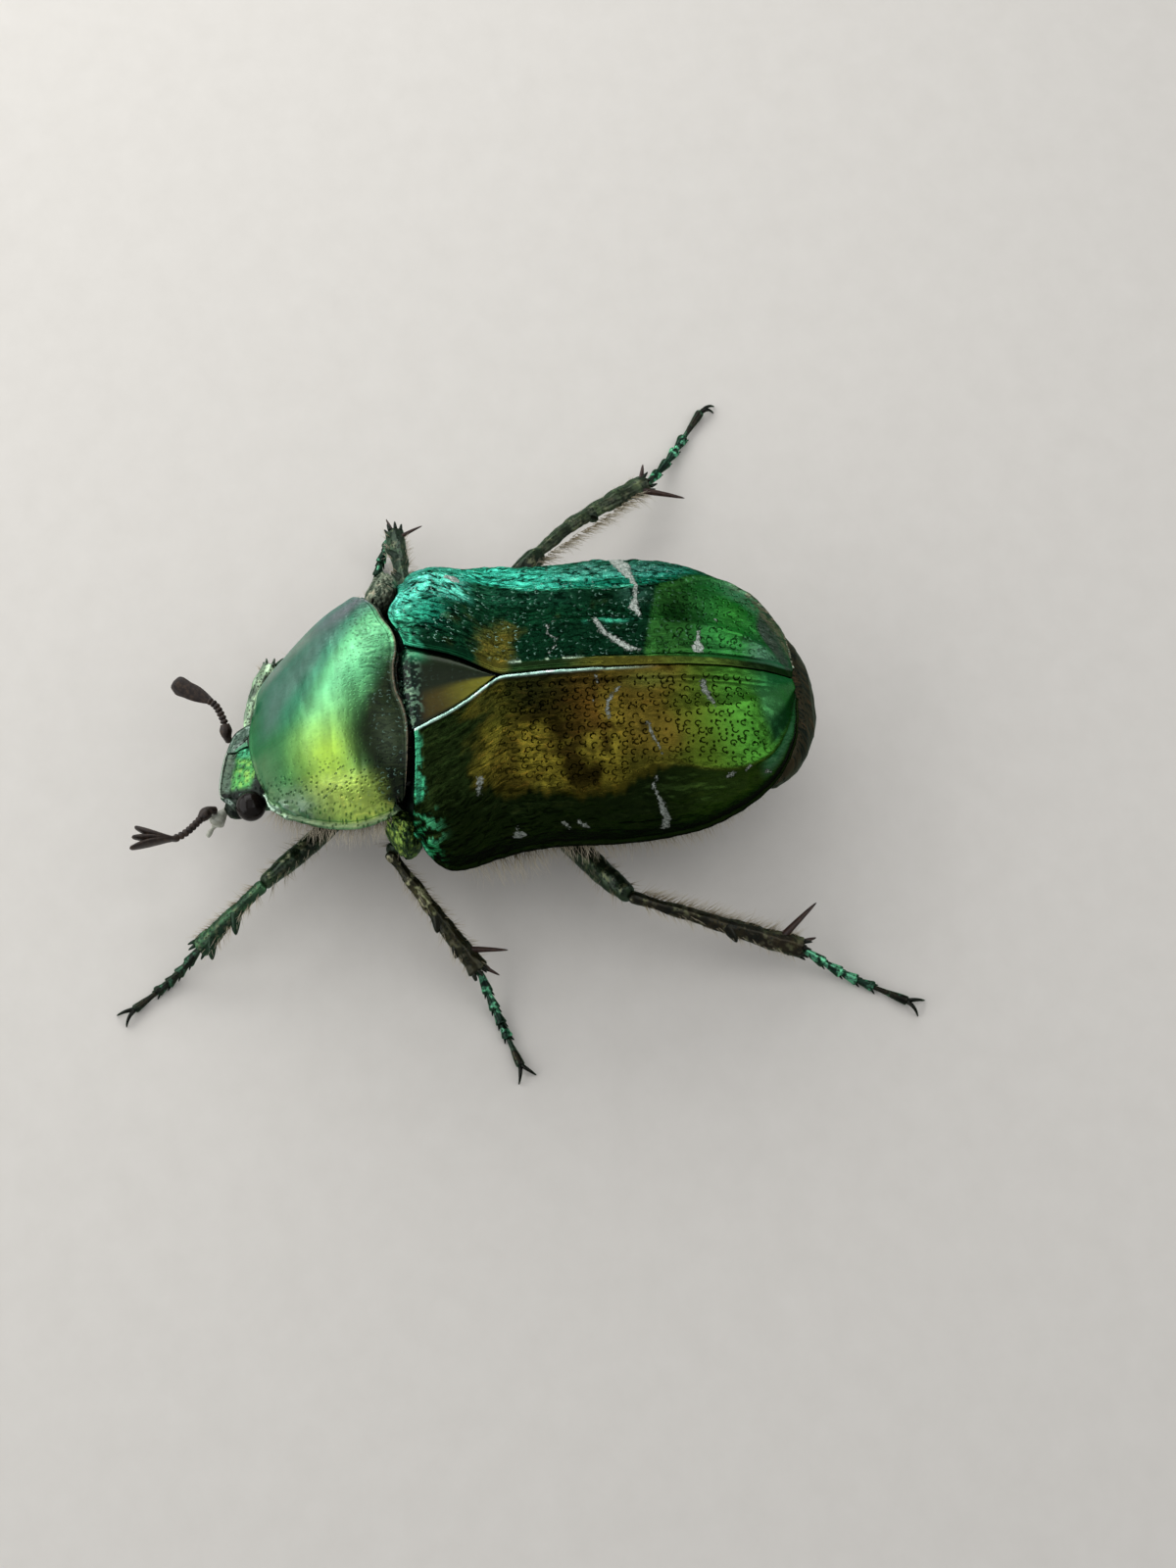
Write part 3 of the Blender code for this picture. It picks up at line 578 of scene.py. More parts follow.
def painted_glints(m, base, surf, broad, folds, glint_share):
    """base with small pale green arcs of painted highlight, where folds is 1."""
    glints = m.punctures(m.vector("ADD", surf, (5.3, 2.9, 0.0)), (0.21, 0.13), 0.22, 0.11, opening=0.02,
                         keep=0.45, randomness=1.0)
    glints = m.times(glints, m.step(broad, 0.38, 0.58))
    glints = m.times(glints, m.times(folds, glint_share))
    return m.mix(glints, base, m.mix(0.75, base, (0.34, 0.62, 0.50)))


def chalk_mask(m, surf, fleck):
    """1 inside the flecks of white scales, with ragged edges and small gaps."""
    ragged = m.math("MULTIPLY_ADD", m.noise(surf, 7.0, 5.0, 0.8), 0.42, -0.20)
    chalk = m.step(m.math("ADD", fleck, ragged), 0.012, -0.022)
    return m.times(chalk, m.step(m.noise(surf, 27.0, 3.0, 0.6), 0.36, 0.46))


def shell_material(name, edge, roughness=0.3, rings=0.0, dots=0.0, wrinkle=0.01, grain=0.004,
                   metallic=0.95, coat=0.3, pit_shade_tone=(0.10, 0.12, 0.10), glint_share=0.0, chalk_light_and_shade=1.0):
    """Metallic chitin tinted by the piece.

    The marks of the piece are the share of pits, the share of wrinkles (painted shade down each crack,
    painted highlight along each crest), and the distance in millimetres to the nearest fleck of white scales.
    """
    m = Material(name)
    surf = m.attribute("surf")["Vector"]
    tint = m.attribute("tint")["Color"]
    split = m.node("SeparateXYZ")
    m.put(split.inputs[0], m.attribute("marks")["Vector"])
    pits, folds, fleck = split.outputs
    broad = m.noise(surf, 1.3, 4.0, 0.6)
    fine = m.noise(surf, 11.0, 4.0, 0.65, 0.4)
    creases = m.noise(m.vector("MULTIPLY", surf, (2.6, 7.0, 1.0)), 1.0, 4.0, 0.6, 1.2)
    base = m.toned(m.step(broad, 0.35, 0.7, 0.0, 0.4), tint, (0.5, 0.47, 0.42))
    base = wrinkled(m, base, creases, folds)
    height = m.times(m.times(creases, folds), wrinkle * 6)
    height = m.math("MULTIPLY_ADD", creases, wrinkle, height)
    height = m.math("MULTIPLY_ADD", fine, grain, height)
    for hole, strength in shell_holes(m, surf, rings, dots):
        hole = m.times(hole, pits)
        height = m.math("MULTIPLY_ADD", hole, -PIT_DEPTH * strength, height)
        # each pit darkened: painted shade in the pits
        base = m.toned(m.times(hole, 0.9), base, pit_shade_tone)
    # small pale green arcs of painted highlight
    if glint_share:
        base = painted_glints(m, base, surf, broad, folds, glint_share)
    chalk = chalk_mask(m, surf, fleck)
    # the flecks' whites, scaled for each case: painted light and painted shade
    dim, bright = (np.array(tone) * chalk_light_and_shade for tone in ((0.13, 0.15, 0.13), (0.46, 0.50, 0.45)))
    white = m.mix(m.step(fine, 0.3, 0.7), dim, bright)
    height = m.math("MULTIPLY_ADD", chalk, CHALK_HEIGHT, height)
    m.set(Base_Color=m.mix(chalk, base, white), Metallic=m.math("MULTIPLY_ADD", chalk, -metallic, metallic),
          Roughness=m.math("MAXIMUM", m.step(fine, 0.3, 0.8, roughness - 0.05, roughness + 0.1),
                           m.times(chalk, CHALK_ROUGHNESS)),
          Specular_Tint=(*edge, 1.0), Coat_Weight=coat, Coat_Roughness=0.15, Normal=m.bump(height))
    return m.material


def limb_material(name, edge, roughness=0.36, metallic=0.8, wrinkle=0.01):
    """Dark chitin of the legs, grooved lengthwise and dotted with small pits."""
    m = Material(name)
    surf = m.attribute("surf")["Vector"]
    tint = m.attribute("tint")["Color"]
    broad = m.noise(surf, 2.4, 4.0, 0.6)
    grooves = m.noise(m.vector("MULTIPLY", surf, (1.2, 9.0, 1.0)), 1.0, 4.0, 0.6, 0.6)
    dots = m.punctures(surf, (0.14, 0.11), 0.22, 0.1, keep=0.45, randomness=0.9)
    base = m.toned(m.step(broad, 0.4, 0.7, 0.0, 0.8), tint, (2.2, 2.6, 2.0))
    # pits painted near-black: painted shade in the pits
    base = m.mix(m.times(dots, 0.7), base, (0.004, 0.006, 0.004))
    height = m.times(grooves, wrinkle)
    height = m.math("MULTIPLY_ADD", dots, -0.02, height)
    m.set(Base_Color=base, Metallic=metallic,
          Roughness=m.step(broad, 0.3, 0.8, roughness - 0.08, roughness + 0.1),
          Specular_Tint=(*edge, 1.0), Coat_Weight=0.25, Coat_Roughness=0.2, Normal=m.bump(height))
    return m.material


def horn_material(name, tone, light, roughness=0.4):
    """Horn of one tone with lighter spots, not metallic."""
    m = Material(name)
    surf = m.attribute("surf")["Vector"]
    spots = m.noise(surf, 6.0, 4.0, 0.6)
    base = m.mix(m.step(spots, 0.4, 0.75), tone, light)
    m.set(Base_Color=base, Metallic=0.0, Roughness=m.step(spots, 0.2, 0.8, roughness - 0.1, roughness + 0.15),
          IOR=1.38, Normal=m.bump(m.times(spots, 0.008)))
    return m.material


def eye_material():
    m = Material("eye_black")
    surf = m.attribute("surf")["Vector"]
    facets = m.punctures(surf, (0.045, 0.045), 0.3, 0.2, randomness=0.15)
    base = m.mix(m.noise(surf, 3.0), (0.004, 0.004, 0.004), (0.012, 0.008, 0.006))
    m.set(Base_Color=base, Roughness=0.14, IOR=1.27, Normal=m.bump(m.times(facets, 0.0015)))
    return m.material


def hair_material(name, root, tip):
    """Colour from root to tip, along the first value of the hair's surf."""
    m = Material(name)
    along = m.attribute("surf")["Vector"]
    split = m.node("SeparateXYZ")
    m.put(split.inputs[0], along)
    base = m.mix(split.outputs[0], root, tip)
    m.set(Base_Color=base, Roughness=0.45, Metallic=0.0)
    return m.material


TURQUOISE = colour(70, 215, 175)
LIMB_EDGE = colour(120, 200, 170)
FEELER_BROWN = colour(40, 30, 24)
WING_LOOK = {"roughness": 0.28, "rings": 1.0, "wrinkle": 0.006, "grain": 0.006, "coat": 0.0}
# The white flecks are painted dimmer on the left case and brighter on the right: painted shade and painted
# light.
WING = {
    1: shell_material("wing_case_gold", colour(60, 110, 60), chalk_light_and_shade=0.7, pit_shade_tone=(0.03, 0.03, 0.02),
                      **WING_LOOK),
    -1: shell_material("wing_case_green", colour(84, 170, 140), glint_share=0.55, chalk_light_and_shade=1.4, **WING_LOOK),
}
SHIELD = shell_material("shield_shell", TURQUOISE, roughness=0.34, dots=0.7, wrinkle=0.003, grain=0.003,
                        pit_shade_tone=(0.28, 0.34, 0.22), glint_share=0.5)
BELLY = shell_material("belly_shell", LIMB_EDGE, roughness=0.45, dots=1.0, wrinkle=0.004, metallic=0.6,
                       coat=0.05)
LEG = limb_material("leg_shell", LIMB_EDGE)
FOOT = limb_material("foot_shell", TURQUOISE, roughness=0.3, metallic=0.9)
HORN = horn_material("horn_brown", (0.012, 0.007, 0.005), (0.05, 0.03, 0.018))
SPUR = horn_material("spur_brown", (0.022, 0.010, 0.007), (0.055, 0.026, 0.015), 0.3)
PALE_HORN = horn_material("horn_pale", (0.33, 0.34, 0.27), (0.64, 0.66, 0.57), 0.3)
EYE = eye_material()
HAIR = hair_material("hair_pale", (0.20, 0.16, 0.09), (0.62, 0.56, 0.42))


# ---------------------------------------------------------------- wing cases
WING_ROWS, WING_COLUMNS = 280, 140
SHELL_THICKNESS = 0.22
SHOULDER_BULGE = 0.46       # how far the right wing case bulges forward beside the scutellum


def even_columns(point_at, count):
    """Values of u, from 0 to 1, that split a cross-section into equal lengths."""
    fine = np.linspace(0, 1, 600)
    length = run_length(point_at(fine))
    return np.interp(np.linspace(0, length[-1], count), length, fine)


# Where the back of each wing case turns down into its flank, as a share of the width.
CREASE = {
    1: ((0, 0.45), (0.1, 0.44), (0.2, 0.52), (0.35, 0.60), (0.5, 0.62), (0.58, 0.53), (0.65, 0.51),
        (0.72, 0.57), (0.80, 0.64), (0.9, 0.68), (1, 0.6)),
    -1: ((0, 0.36), (0.1, 0.42), (0.2, 0.52), (0.3, 0.47), (0.6, 0.45), (0.7, 0.53), (0.78, 0.66), (1, 0.8)),
}
# White scale flecks: points as (station along the case, share of its width), and widths in mm.
FLECKS = {
    -1: ((((0.565, 0.82), (0.58, 0.66), (0.60, 0.54)), (0.34, 0.40, 0.16)),
         (((0.60, 0.54), (0.607, 0.46), (0.603, 0.40), (0.596, 0.34), (0.606, 0.29)),
          (0.16, 0.10, 0.13, 0.24, 0.12)),
         (((0.49, 0.26), (0.505, 0.205), (0.53, 0.16), (0.553, 0.13), (0.568, 0.10), (0.60, 0.092)),
          (0.13, 0.14, 0.15, 0.17, 0.17, 0.05)),
         (((0.757, 0.205), (0.756, 0.15), (0.753, 0.105)), (0.08, 0.13, 0.30)),
         (((0.385, 0.265), (0.366, 0.24), (0.366, 0.20), (0.386, 0.165), (0.383, 0.13), (0.362, 0.08)),
          (0.03, 0.04, 0.04, 0.05, 0.04, 0.05)),
         (((0.13, 0.50), (0.15, 0.49)), (0.16, 0.2)),
         (((0.80, 0.31), (0.802, 0.30)), (0.06, 0.07))),
    1: ((((0.54, 0.09), (0.515, 0.14), (0.50, 0.19), (0.50, 0.26)), (0.06, 0.11, 0.13, 0.12)),
        (((0.477, 0.04), (0.478, 0.07)), (0.06, 0.06)),
        (((0.466, 0.17), (0.467, 0.18)), (0.05, 0.06)),
        (((0.755, 0.09), (0.757, 0.14), (0.765, 0.19), (0.777, 0.25)), (0.20, 0.24, 0.15, 0.06)),
        (((0.60, 0.30), (0.607, 0.36), (0.62, 0.42), (0.627, 0.47)), (0.12, 0.10, 0.07, 0.04)),
        (((0.61, 0.57), (0.60, 0.62), (0.607, 0.67)), (0.07, 0.12, 0.08)),
        (((0.61, 0.68), (0.617, 0.75), (0.625, 0.80), (0.62, 0.88)), (0.14, 0.24, 0.22, 0.26)),
        (((0.167, 0.44), (0.166, 0.51)), (0.22, 0.12)),
        (((0.268, 0.77), (0.262, 0.83), (0.28, 0.83)), (0.06, 0.2, 0.2)),
        (((0.38, 0.79), (0.395, 0.82)), (0.14, 0.1)),
        (((0.42, 0.80), (0.445, 0.83)), (0.13, 0.1)),
        (((0.775, 0.66), (0.785, 0.66)), (0.15, 0.17)),
        (((0.815, 0.67), (0.825, 0.66)), (0.12, 0.1)),
        (((0.86, 0.78), (0.87, 0.82)), (0.12, 0.1))),
}


def fleck_distance(side, grid, v):
    """Distance in mm from each point of a wing case to the edge of the nearest fleck."""
    rows = len(grid)
    nearest = np.full(v.shape, 1.0)
    for knots, widths in FLECKS[side]:
        knots = np.array(knots)
        at = np.linspace(0, len(knots) - 1, 12 * (len(knots) - 1) + 1)
        stations = np.interp(at, np.arange(len(knots)), knots[:, 0])
        shares = np.interp(at, np.arange(len(knots)), knots[:, 1])
        halves = np.interp(at, np.arange(len(knots)), widths) * (0.5 if side > 0 else 0.62)
        for s, share, half in zip(stations, shares, halves):
            row = s * (rows - 1)
            low = int(row)
            before, after = (np.array([np.interp(share, v[r], grid[r, :, k]) for k in range(3)])
                             for r in (low, low + 1))
            centre = lerp(before, after, row - low)
            nearest = np.minimum(nearest, np.linalg.norm(grid - centre, axis=-1) - half)
    return nearest


def elytron_relief(side, s, v, y, w, edge):
    """Ridges, hollows, knobs and wrinkles of a wing case."""
    crease = curve(s, CREASE[side])
    rear = smooth(s, 0.97, 0.86) * (0.55 if side > 0 else 1.0)
    relief = 0.05 * smooth(w, 0.38, 0.27) * smooth(s, 0.22, 0.4)
    relief -= 0.05 * hill(w, 0.42, 0.06) * smooth(s, 0.25, 0.45) * rear
    relief += 0.06 * hill(v, 0.25, 0.03) * smooth(s, 0.3, 0.42) * rear
    relief -= 0.08 * hill(v, 0.15, 0.07) * smooth(s, 0.42, 0.6) * rear
    relief -= 0.06 * hill(v, 0.35, 0.06) * smooth(s, 0.2, 0.4) * rear
    relief += 0.10 * hill(v, crease - 0.01, 0.03) * smooth(s, 0.1, 0.3) * rear
    relief -= 0.08 * hill(v, crease + 0.10, 0.06) * smooth(s, 0.14, 0.3) * rear
    relief += 0.16 * hill(y, 8.0, 0.7) * hill(v, 0.5, 0.12)
    relief += 0.10 * hill(s, 0.85, 0.05) * hill(v, 0.36, 0.18)
    relief += 0.06 * smooth(v, 0.955, 0.98)
    relief += 0.04 * smooth(edge, 0.13, 0.06)
    relief -= 0.03 * hill(edge, 0.18, 0.04)
    rough = smooth(v, crease - 0.06, crease + 0.04) * smooth(s, 0.82, 0.66) + 0.15
    rough = np.maximum(rough, smooth(s, 0.2, 0.1) * 0.8)
    folds = field(y * 1.5, w * 4.6, 4, 3)
    relief += 0.045 * rough * folds * smooth(edge, 0.05, 0.4) * smooth(v, 0.9, 0.78)
    relief += 0.012 * field(y * 5, w * 5, 2, 8, 3)
    return relief


def left_wing_tint(s, v, y, w, blotch):
    """Gold and brown clouds, a lime hind part that is partly painted reflection, painted shade on the
    shoulders, the flank and down the disc's side, and painted highlights on the front grains, the raised
    shoulder and the seam.
    """
    wave = field(y * 0.9, w * 0.9, 3, 21, 5)
    drips = field(y * 5.0, v * 2.0, 2, 40)
    low = curve(s, CREASE[1]) + 0.03 * drips * smooth(s, 0.68, 0.6)
    soft = lerp(0.05, 0.02, smooth(s, 0.6, 0.7))
    disc = smooth(v, low + soft, low - soft) * smooth(s + 0.04 * blotch, 0.12, 0.28)
    # dark base off the disc, on the shoulders and flank: painted shade
    tint = paint(colour(26, 38, 15), disc, colour(132, 122, 42))
    brown = blend(colour(96, 84, 30), colour(74, 72, 24), smooth(v, 0.38, 0.5))
    tint = paint(tint, disc * smooth(s, 0.50, 0.56), brown)
    clear = np.maximum(smooth(s, 0.42, 0.54), 1.15 * hill(s, 0.30, 0.055) * hill(v, 0.37, 0.16))
    clear = np.maximum(clear, 0.4 * hill(s, 0.20, 0.05) * hill(v, 0.26, 0.10))
    clear = np.maximum(clear, 0.7 * hill(s, 0.37, 0.06) * hill(v, 0.53, 0.08))
    tint = paint(tint, disc * smooth(clear + 0.55 * blotch, 0.75, 0.1) * 0.93, colour(42, 34, 12))
    tint = paint(tint, disc * smooth(w + 0.3 * wave, 1.6, 0.7) * smooth(s + 0.02 * blotch, 0.45, 0.36) * 0.9,
                 colour(28, 32, 12))
    tint = paint(tint, disc * hill(s, 0.46, 0.06) * hill(v, 0.2, 0.12) * 0.7, colour(112, 84, 32))
    tint = paint(tint, disc * hill(w, 0.35, 0.65) * hill(s, 0.52, 0.10) * 0.85, colour(66, 54, 20))
    tint = paint(tint, disc * hill(s, 0.37, 0.06) * hill(v, 0.24, 0.13) * 0.85, colour(32, 26, 8))
    tint = paint(tint, disc * hill(s, 0.21, 0.05) * hill(v, 0.18, 0.12) * 0.6, colour(42, 58, 18))
    # disc darkened towards the flank: painted shade
    tint = tint * (1 - 0.45 * disc * hill(s, 0.47, 0.12) * smooth(v + 0.05 * drips, 0.34, 0.5))[..., None]
    tint = paint(tint, hill(v, 0.07, 0.04) * hill(s, 0.62, 0.06), colour(104, 110, 46))
    # lime hind part: own colour and painted reflection, darker towards the flank as painted shade
    lime = smooth(s + 0.025 * wave + 0.12 * (v - 0.25), 0.64, 0.78)
    green = blend(colour(84, 112, 34), colour(82, 154, 54), smooth(s, 0.73, 0.86))
    tint = paint(tint, disc * lime, green * lerp(1.0, 0.70, smooth(v, 0.28, 0.46))[..., None])
    tint = paint(tint, disc * lime * hill(w, 0.0, 1.1) * 0.5, colour(44, 88, 34))
    tint = paint(tint, (1 - disc) * smooth(s, 0.6, 0.75) * smooth(v, 0.95, 0.8), colour(44, 64, 24))
    flank = smooth(v, low, low + 0.03) * smooth(v, 0.88, 0.76)
    tint = paint(tint, flank * smooth(s, 0.84, 0.88), colour(70, 116, 84))
    # tip darker towards the flank: painted shade
    apex = blend(colour(70, 136, 78), colour(28, 70, 38), smooth(v, 0.38, 0.5))
    tint = paint(tint, smooth(s, 0.875, 0.91) * smooth(v, 0.08, 0.2) * smooth(v, 0.72, 0.6), apex)
    tint = paint(tint, smooth(s, 0.84, 0.95) * smooth(v, 0.25, 0.1), colour(44, 116, 66))
    # turquoise grains on the front margin and the raised shoulder: painted highlights
    grains = field(y * 7.0, w * 7.0, 2, 50, 2)
    front = smooth(w, 0.2, 0.4) * smooth(y - ELYTRA_FRONT - 0.15 * smooth(v, 0.3, 0.9), 0.40, 0.2)
    tint = paint(tint, front * smooth(grains, -0.1, 0.4), colour(60, 160, 116))
    knob_highlight = hill(s, 0.035, 0.03) * smooth(v, 0.5, 0.62) * smooth(v, 1.0, 0.9)
    tint = paint(tint, knob_highlight * smooth(grains, 0.0, 0.4), colour(84, 190, 136))
    tint = paint(tint, smooth(y - ELYTRA_FRONT, 0.29, 0.23) * smooth(v, 0.5, 0.4) * smooth(grains, -0.6, 0.1),
                 colour(60, 156, 114))
    # pale line along the seam: painted highlight
    seam_highlight = smooth(w, 0.09, 0.05) * smooth(s, 0.66, 0.34)
    return paint(tint, seam_highlight, colour(206, 255, 236))


def right_wing_tint(s, v, y, w, blotch):
    """Near-black green back and a turquoise wrinkled flank, both partly painted reflection over the own
    green; painted highlights on the costa, the crease, the front grains and the seam row; a green hind part,
    an olive seam strip.
    """
    crease = curve(s, CREASE[-1])
    gold = hill(s - 0.25 * (v - 0.1), 0.225, 0.055) * hill(v, 0.08, 0.17)
    # near-black back over the own green: painted dark reflection
    tint = paint(colour(11, 44, 26), smooth(gold + 0.34 * blotch, 0.2, 1.1) * 0.9, colour(98, 93, 34))
    tint = paint(tint, smooth(v, 0.34, 0.42) * smooth(s, 0.5, 0.4) * 0.8, colour(22, 66, 46))
    hind = smooth(s - 0.12 * (v - 0.25), 0.625, 0.64) * smooth(v, crease + 0.04, crease - 0.02)
    tint = paint(tint, hind, blend(colour(46, 100, 42), colour(50, 124, 60), smooth(s, 0.70, 0.80)))
    tint = paint(tint, hind * hill(s, 0.70, 0.055) * hill(v, 0.32, 0.11) * 0.9, colour(14, 46, 14))
    tint = paint(tint, hind * hill(s, 0.84, 0.05) * hill(v, 0.4, 0.2) * 0.6, colour(66, 168, 60))
    tint = paint(tint, hind * hill(s, 0.86, 0.05) * smooth(v, 0.48, 0.58), colour(100, 172, 124))
    # bright line on the costa: painted highlight
    costa = hill(v, 0.253, 0.011) * smooth(s, 0.455, 0.475) * smooth(s, 0.61, 0.60)
    tint = paint(tint, costa * smooth(blotch, -0.5, 0.3), colour(84, 220, 174))
    # turquoise flank: own colour brightened as painted reflection
    flank = smooth(v, crease - 0.005, crease + 0.012) * smooth(s, 0.80, 0.70)
    deep = smooth(s, 0.36, 0.48) * smooth(v, crease + 0.12, crease + 0.07)
    teal = blend(colour(64, 184, 156), colour(28, 122, 98), deep)
    teal = blend(teal, colour(118, 204, 196), smooth(s, 0.18, 0.10) * smooth(v, 0.42, 0.5))
    tint = paint(tint, flank, teal)
    dull = smooth(v, crease + 0.06, crease + 0.2) * smooth(s, 0.3, 0.5)
    tint = paint(tint, flank * dull * 0.8, colour(74, 120, 108))
    # bright line just below the crease: painted highlight
    bright = hill(v, crease + 0.018, 0.012) * smooth(s, 0.2, 0.3) * smooth(s, 0.66, 0.60)
    tint = paint(tint, bright * smooth(blotch, -0.6, 0.1), colour(110, 230, 190))
    grains = field(y * 5.0, w * 7.0, 3, 51, 2)
    front = smooth(s - 0.045 * smooth(v, 0.1, 0.3) + 0.02 * grains, 0.055, 0.015)
    front = np.maximum(front, smooth(v, 0.32, 0.40) * smooth(s, 0.20, 0.13))
    # pale grains along the front margin: painted highlights
    mint_highlight = blend(colour(64, 170, 130), colour(92, 206, 180), smooth(v, 0.15, 0.4))
    tint = paint(tint, front * smooth(grains, -0.9, 0.0), mint_highlight)
    tint = paint(tint, smooth(v, 0.82, 0.97) * 0.8, colour(40, 70, 60))
    tint = paint(tint, smooth(s, 0.86, 0.92) * smooth(v, 0.34, 0.2), colour(78, 128, 96))
    tint = paint(tint, hill(s, 0.07, 0.035) * hill(v, 0.27, 0.08) * 0.8, colour(40, 150, 120))
    tint = paint(tint, hill(s, 0.60, 0.03) * hill(v, 0.42, 0.05) * 0.6, colour(60, 110, 92))
    tail = 0.90 + 0.08 * smooth(v, 0.45, 0.15)
    tint = paint(tint, smooth(s, tail - 0.005, tail + 0.01), colour(82, 98, 84))
    dusty = smooth(s, 0.80, 0.90) * smooth(v, 0.5, 0.65) * smooth(grains, -0.6, 0.2)
    tint = paint(tint, dusty, colour(128, 124, 104))
    strip = lerp(0.32, 0.20, smooth(s, 0.35, 0.85))
    seam = smooth(w, strip + 0.03, strip - 0.03) * smooth(s, 0.24, 0.28)
    tint = paint(tint, seam, colour(30, 50, 24))
    olive = blend(colour(90, 88, 32), colour(84, 108, 42), smooth(s, 0.60, 0.75))
    tint = paint(tint, seam * smooth(s, 0.38, 0.52) * smooth(s, 0.90, 0.78), olive)
    # pale dots in a row beside the seam: painted highlights
    beads = smooth(field(y * 6.0, y * 0, 1, 60), -0.2, 0.1)
    row = hill(w, 0.34, 0.035) * smooth(s, 0.25, 0.27) * smooth(s, 0.46, 0.42) * beads
    return paint(tint, row, colour(200, 230, 200))


def wing_marks(side, s, v, w, fleck):
    """Shares of pits and of wrinkles with painted shade and highlight, and distance to the nearest fleck."""
    crease = curve(s, CREASE[side])
    if side > 0:
        pits = smooth(v, crease + 0.05, crease - 0.1) * smooth(s, 0.12, 0.3) * smooth(s, 0.91, 0.86)
        pits = pits * smooth(w, 0.16, 0.3)
        folds = 0.35 + 0.4 * smooth(s, 0.5, 0.3)
        folds = folds - 0.3 * smooth(s, 0.55, 0.75) * smooth(v, crease, crease - 0.1)
    else:
        pits = 0.35 + 0.5 * smooth(s, 0.62, 0.7) * smooth(s, 0.93, 0.86)
        pits = pits * smooth(w, 0.3, 0.42) * smooth(v, crease, crease - 0.08)
        folds = 0.8 + 0.3 * smooth(v, crease - 0.05, crease) + 0.3 * smooth(s, 0.2, 0.08)
        folds = folds - 0.45 * smooth(s, 0.61, 0.64) * smooth(v, crease, crease - 0.05)
        folds = folds * smooth(w, 0.26, 0.4)
    return np.stack((pits, np.clip(folds, 0, 1.2), fleck), -1)


def build_elytron(side, name):
    """Wing case; v and w are the share and the length from the seam along a cross-section."""
    columns = even_columns(lambda u: elytron_point(np.full_like(u, 0.45), u, side), WING_COLUMNS)
    s, u = np.meshgrid(np.linspace(0, 1, WING_ROWS), columns, indexing="ij")
    grid = elytron_point(s, u, side)
    if side < 0:
        grid[..., 1] -= SHOULDER_BULGE * hill(u, 0.2, 0.17) * smooth(s, 0.12, 0.0)
    steps = np.linalg.norm(np.diff(grid, axis=1), axis=2)
    w = np.concatenate((np.zeros((WING_ROWS, 1)), np.cumsum(steps, axis=1)), 1)
    v = w / w[:, -1:]
    y = grid[..., 1]
    normals = grid_normals(grid)
    front = s * (ELYTRA_BACK - ELYTRA_FRONT - 0.15)
    edge = np.minimum(front, np.where(s < 0.5, w, 9.0))
    fleck = fleck_distance(side, grid, v)
    relief = elytron_relief(side, s, v, y, w, edge) + 0.012 * smooth(fleck, 0.03, -0.03)
    grid = grid + normals * relief[..., None]
    grid[..., 0] = side * np.maximum(side * grid[..., 0], SEAM_GAP)
    blotch = field(y * 1.9, w * 2.3, 4, 33, side * 9)
    wing_tint = left_wing_tint if side > 0 else right_wing_tint
    tint = wing_tint(s, v, y, w, blotch)
    surf = np.stack((y, w, np.full_like(w, side)), -1)
    shape = Shape()
    add_plate(shape, grid, SHELL_THICKNESS, tint, surf, wing_marks(side, s, v, w, fleck))
    return shape.make("wing_case_" + name, WING[side], "wing_case", ["elytron_" + name])


# ---------------------------------------------------------------- shield, scutellum, side wedges
# How far the thin hind lip of the shield reaches back past the solid, as (share across, mm).
SHIELD_LIP = ((-1, -0.3), (-0.75, -0.32), (-0.5, -0.04), (-0.4, 0.06), (-0.3, 0.25), (-0.2, 0.26),
              (-0.1, 0.1), (0, 0.06), (0.1, 0.23), (0.2, 0.34), (0.4, 0.43), (0.6, 0.48), (0.8, 0.5),
              (0.9, 0.46), (1, 0.34))
SHIELD_RIDGE = ((0, 0.25), (0.3, 0.16), (0.5, 0.04), (0.8, -0.24), (0.95, -0.33), (1, -0.33))
SHIELD_DARK = ((-1, 1.1), (-0.3, 1.03), (-0.2, 0.97), (-0.05, 0.90), (0.05, 0.80), (0.2, 0.73), (0.4, 0.77),
               (0.6, 0.84), (0.8, 0.87), (1, 0.92))    # where the dark hind part begins


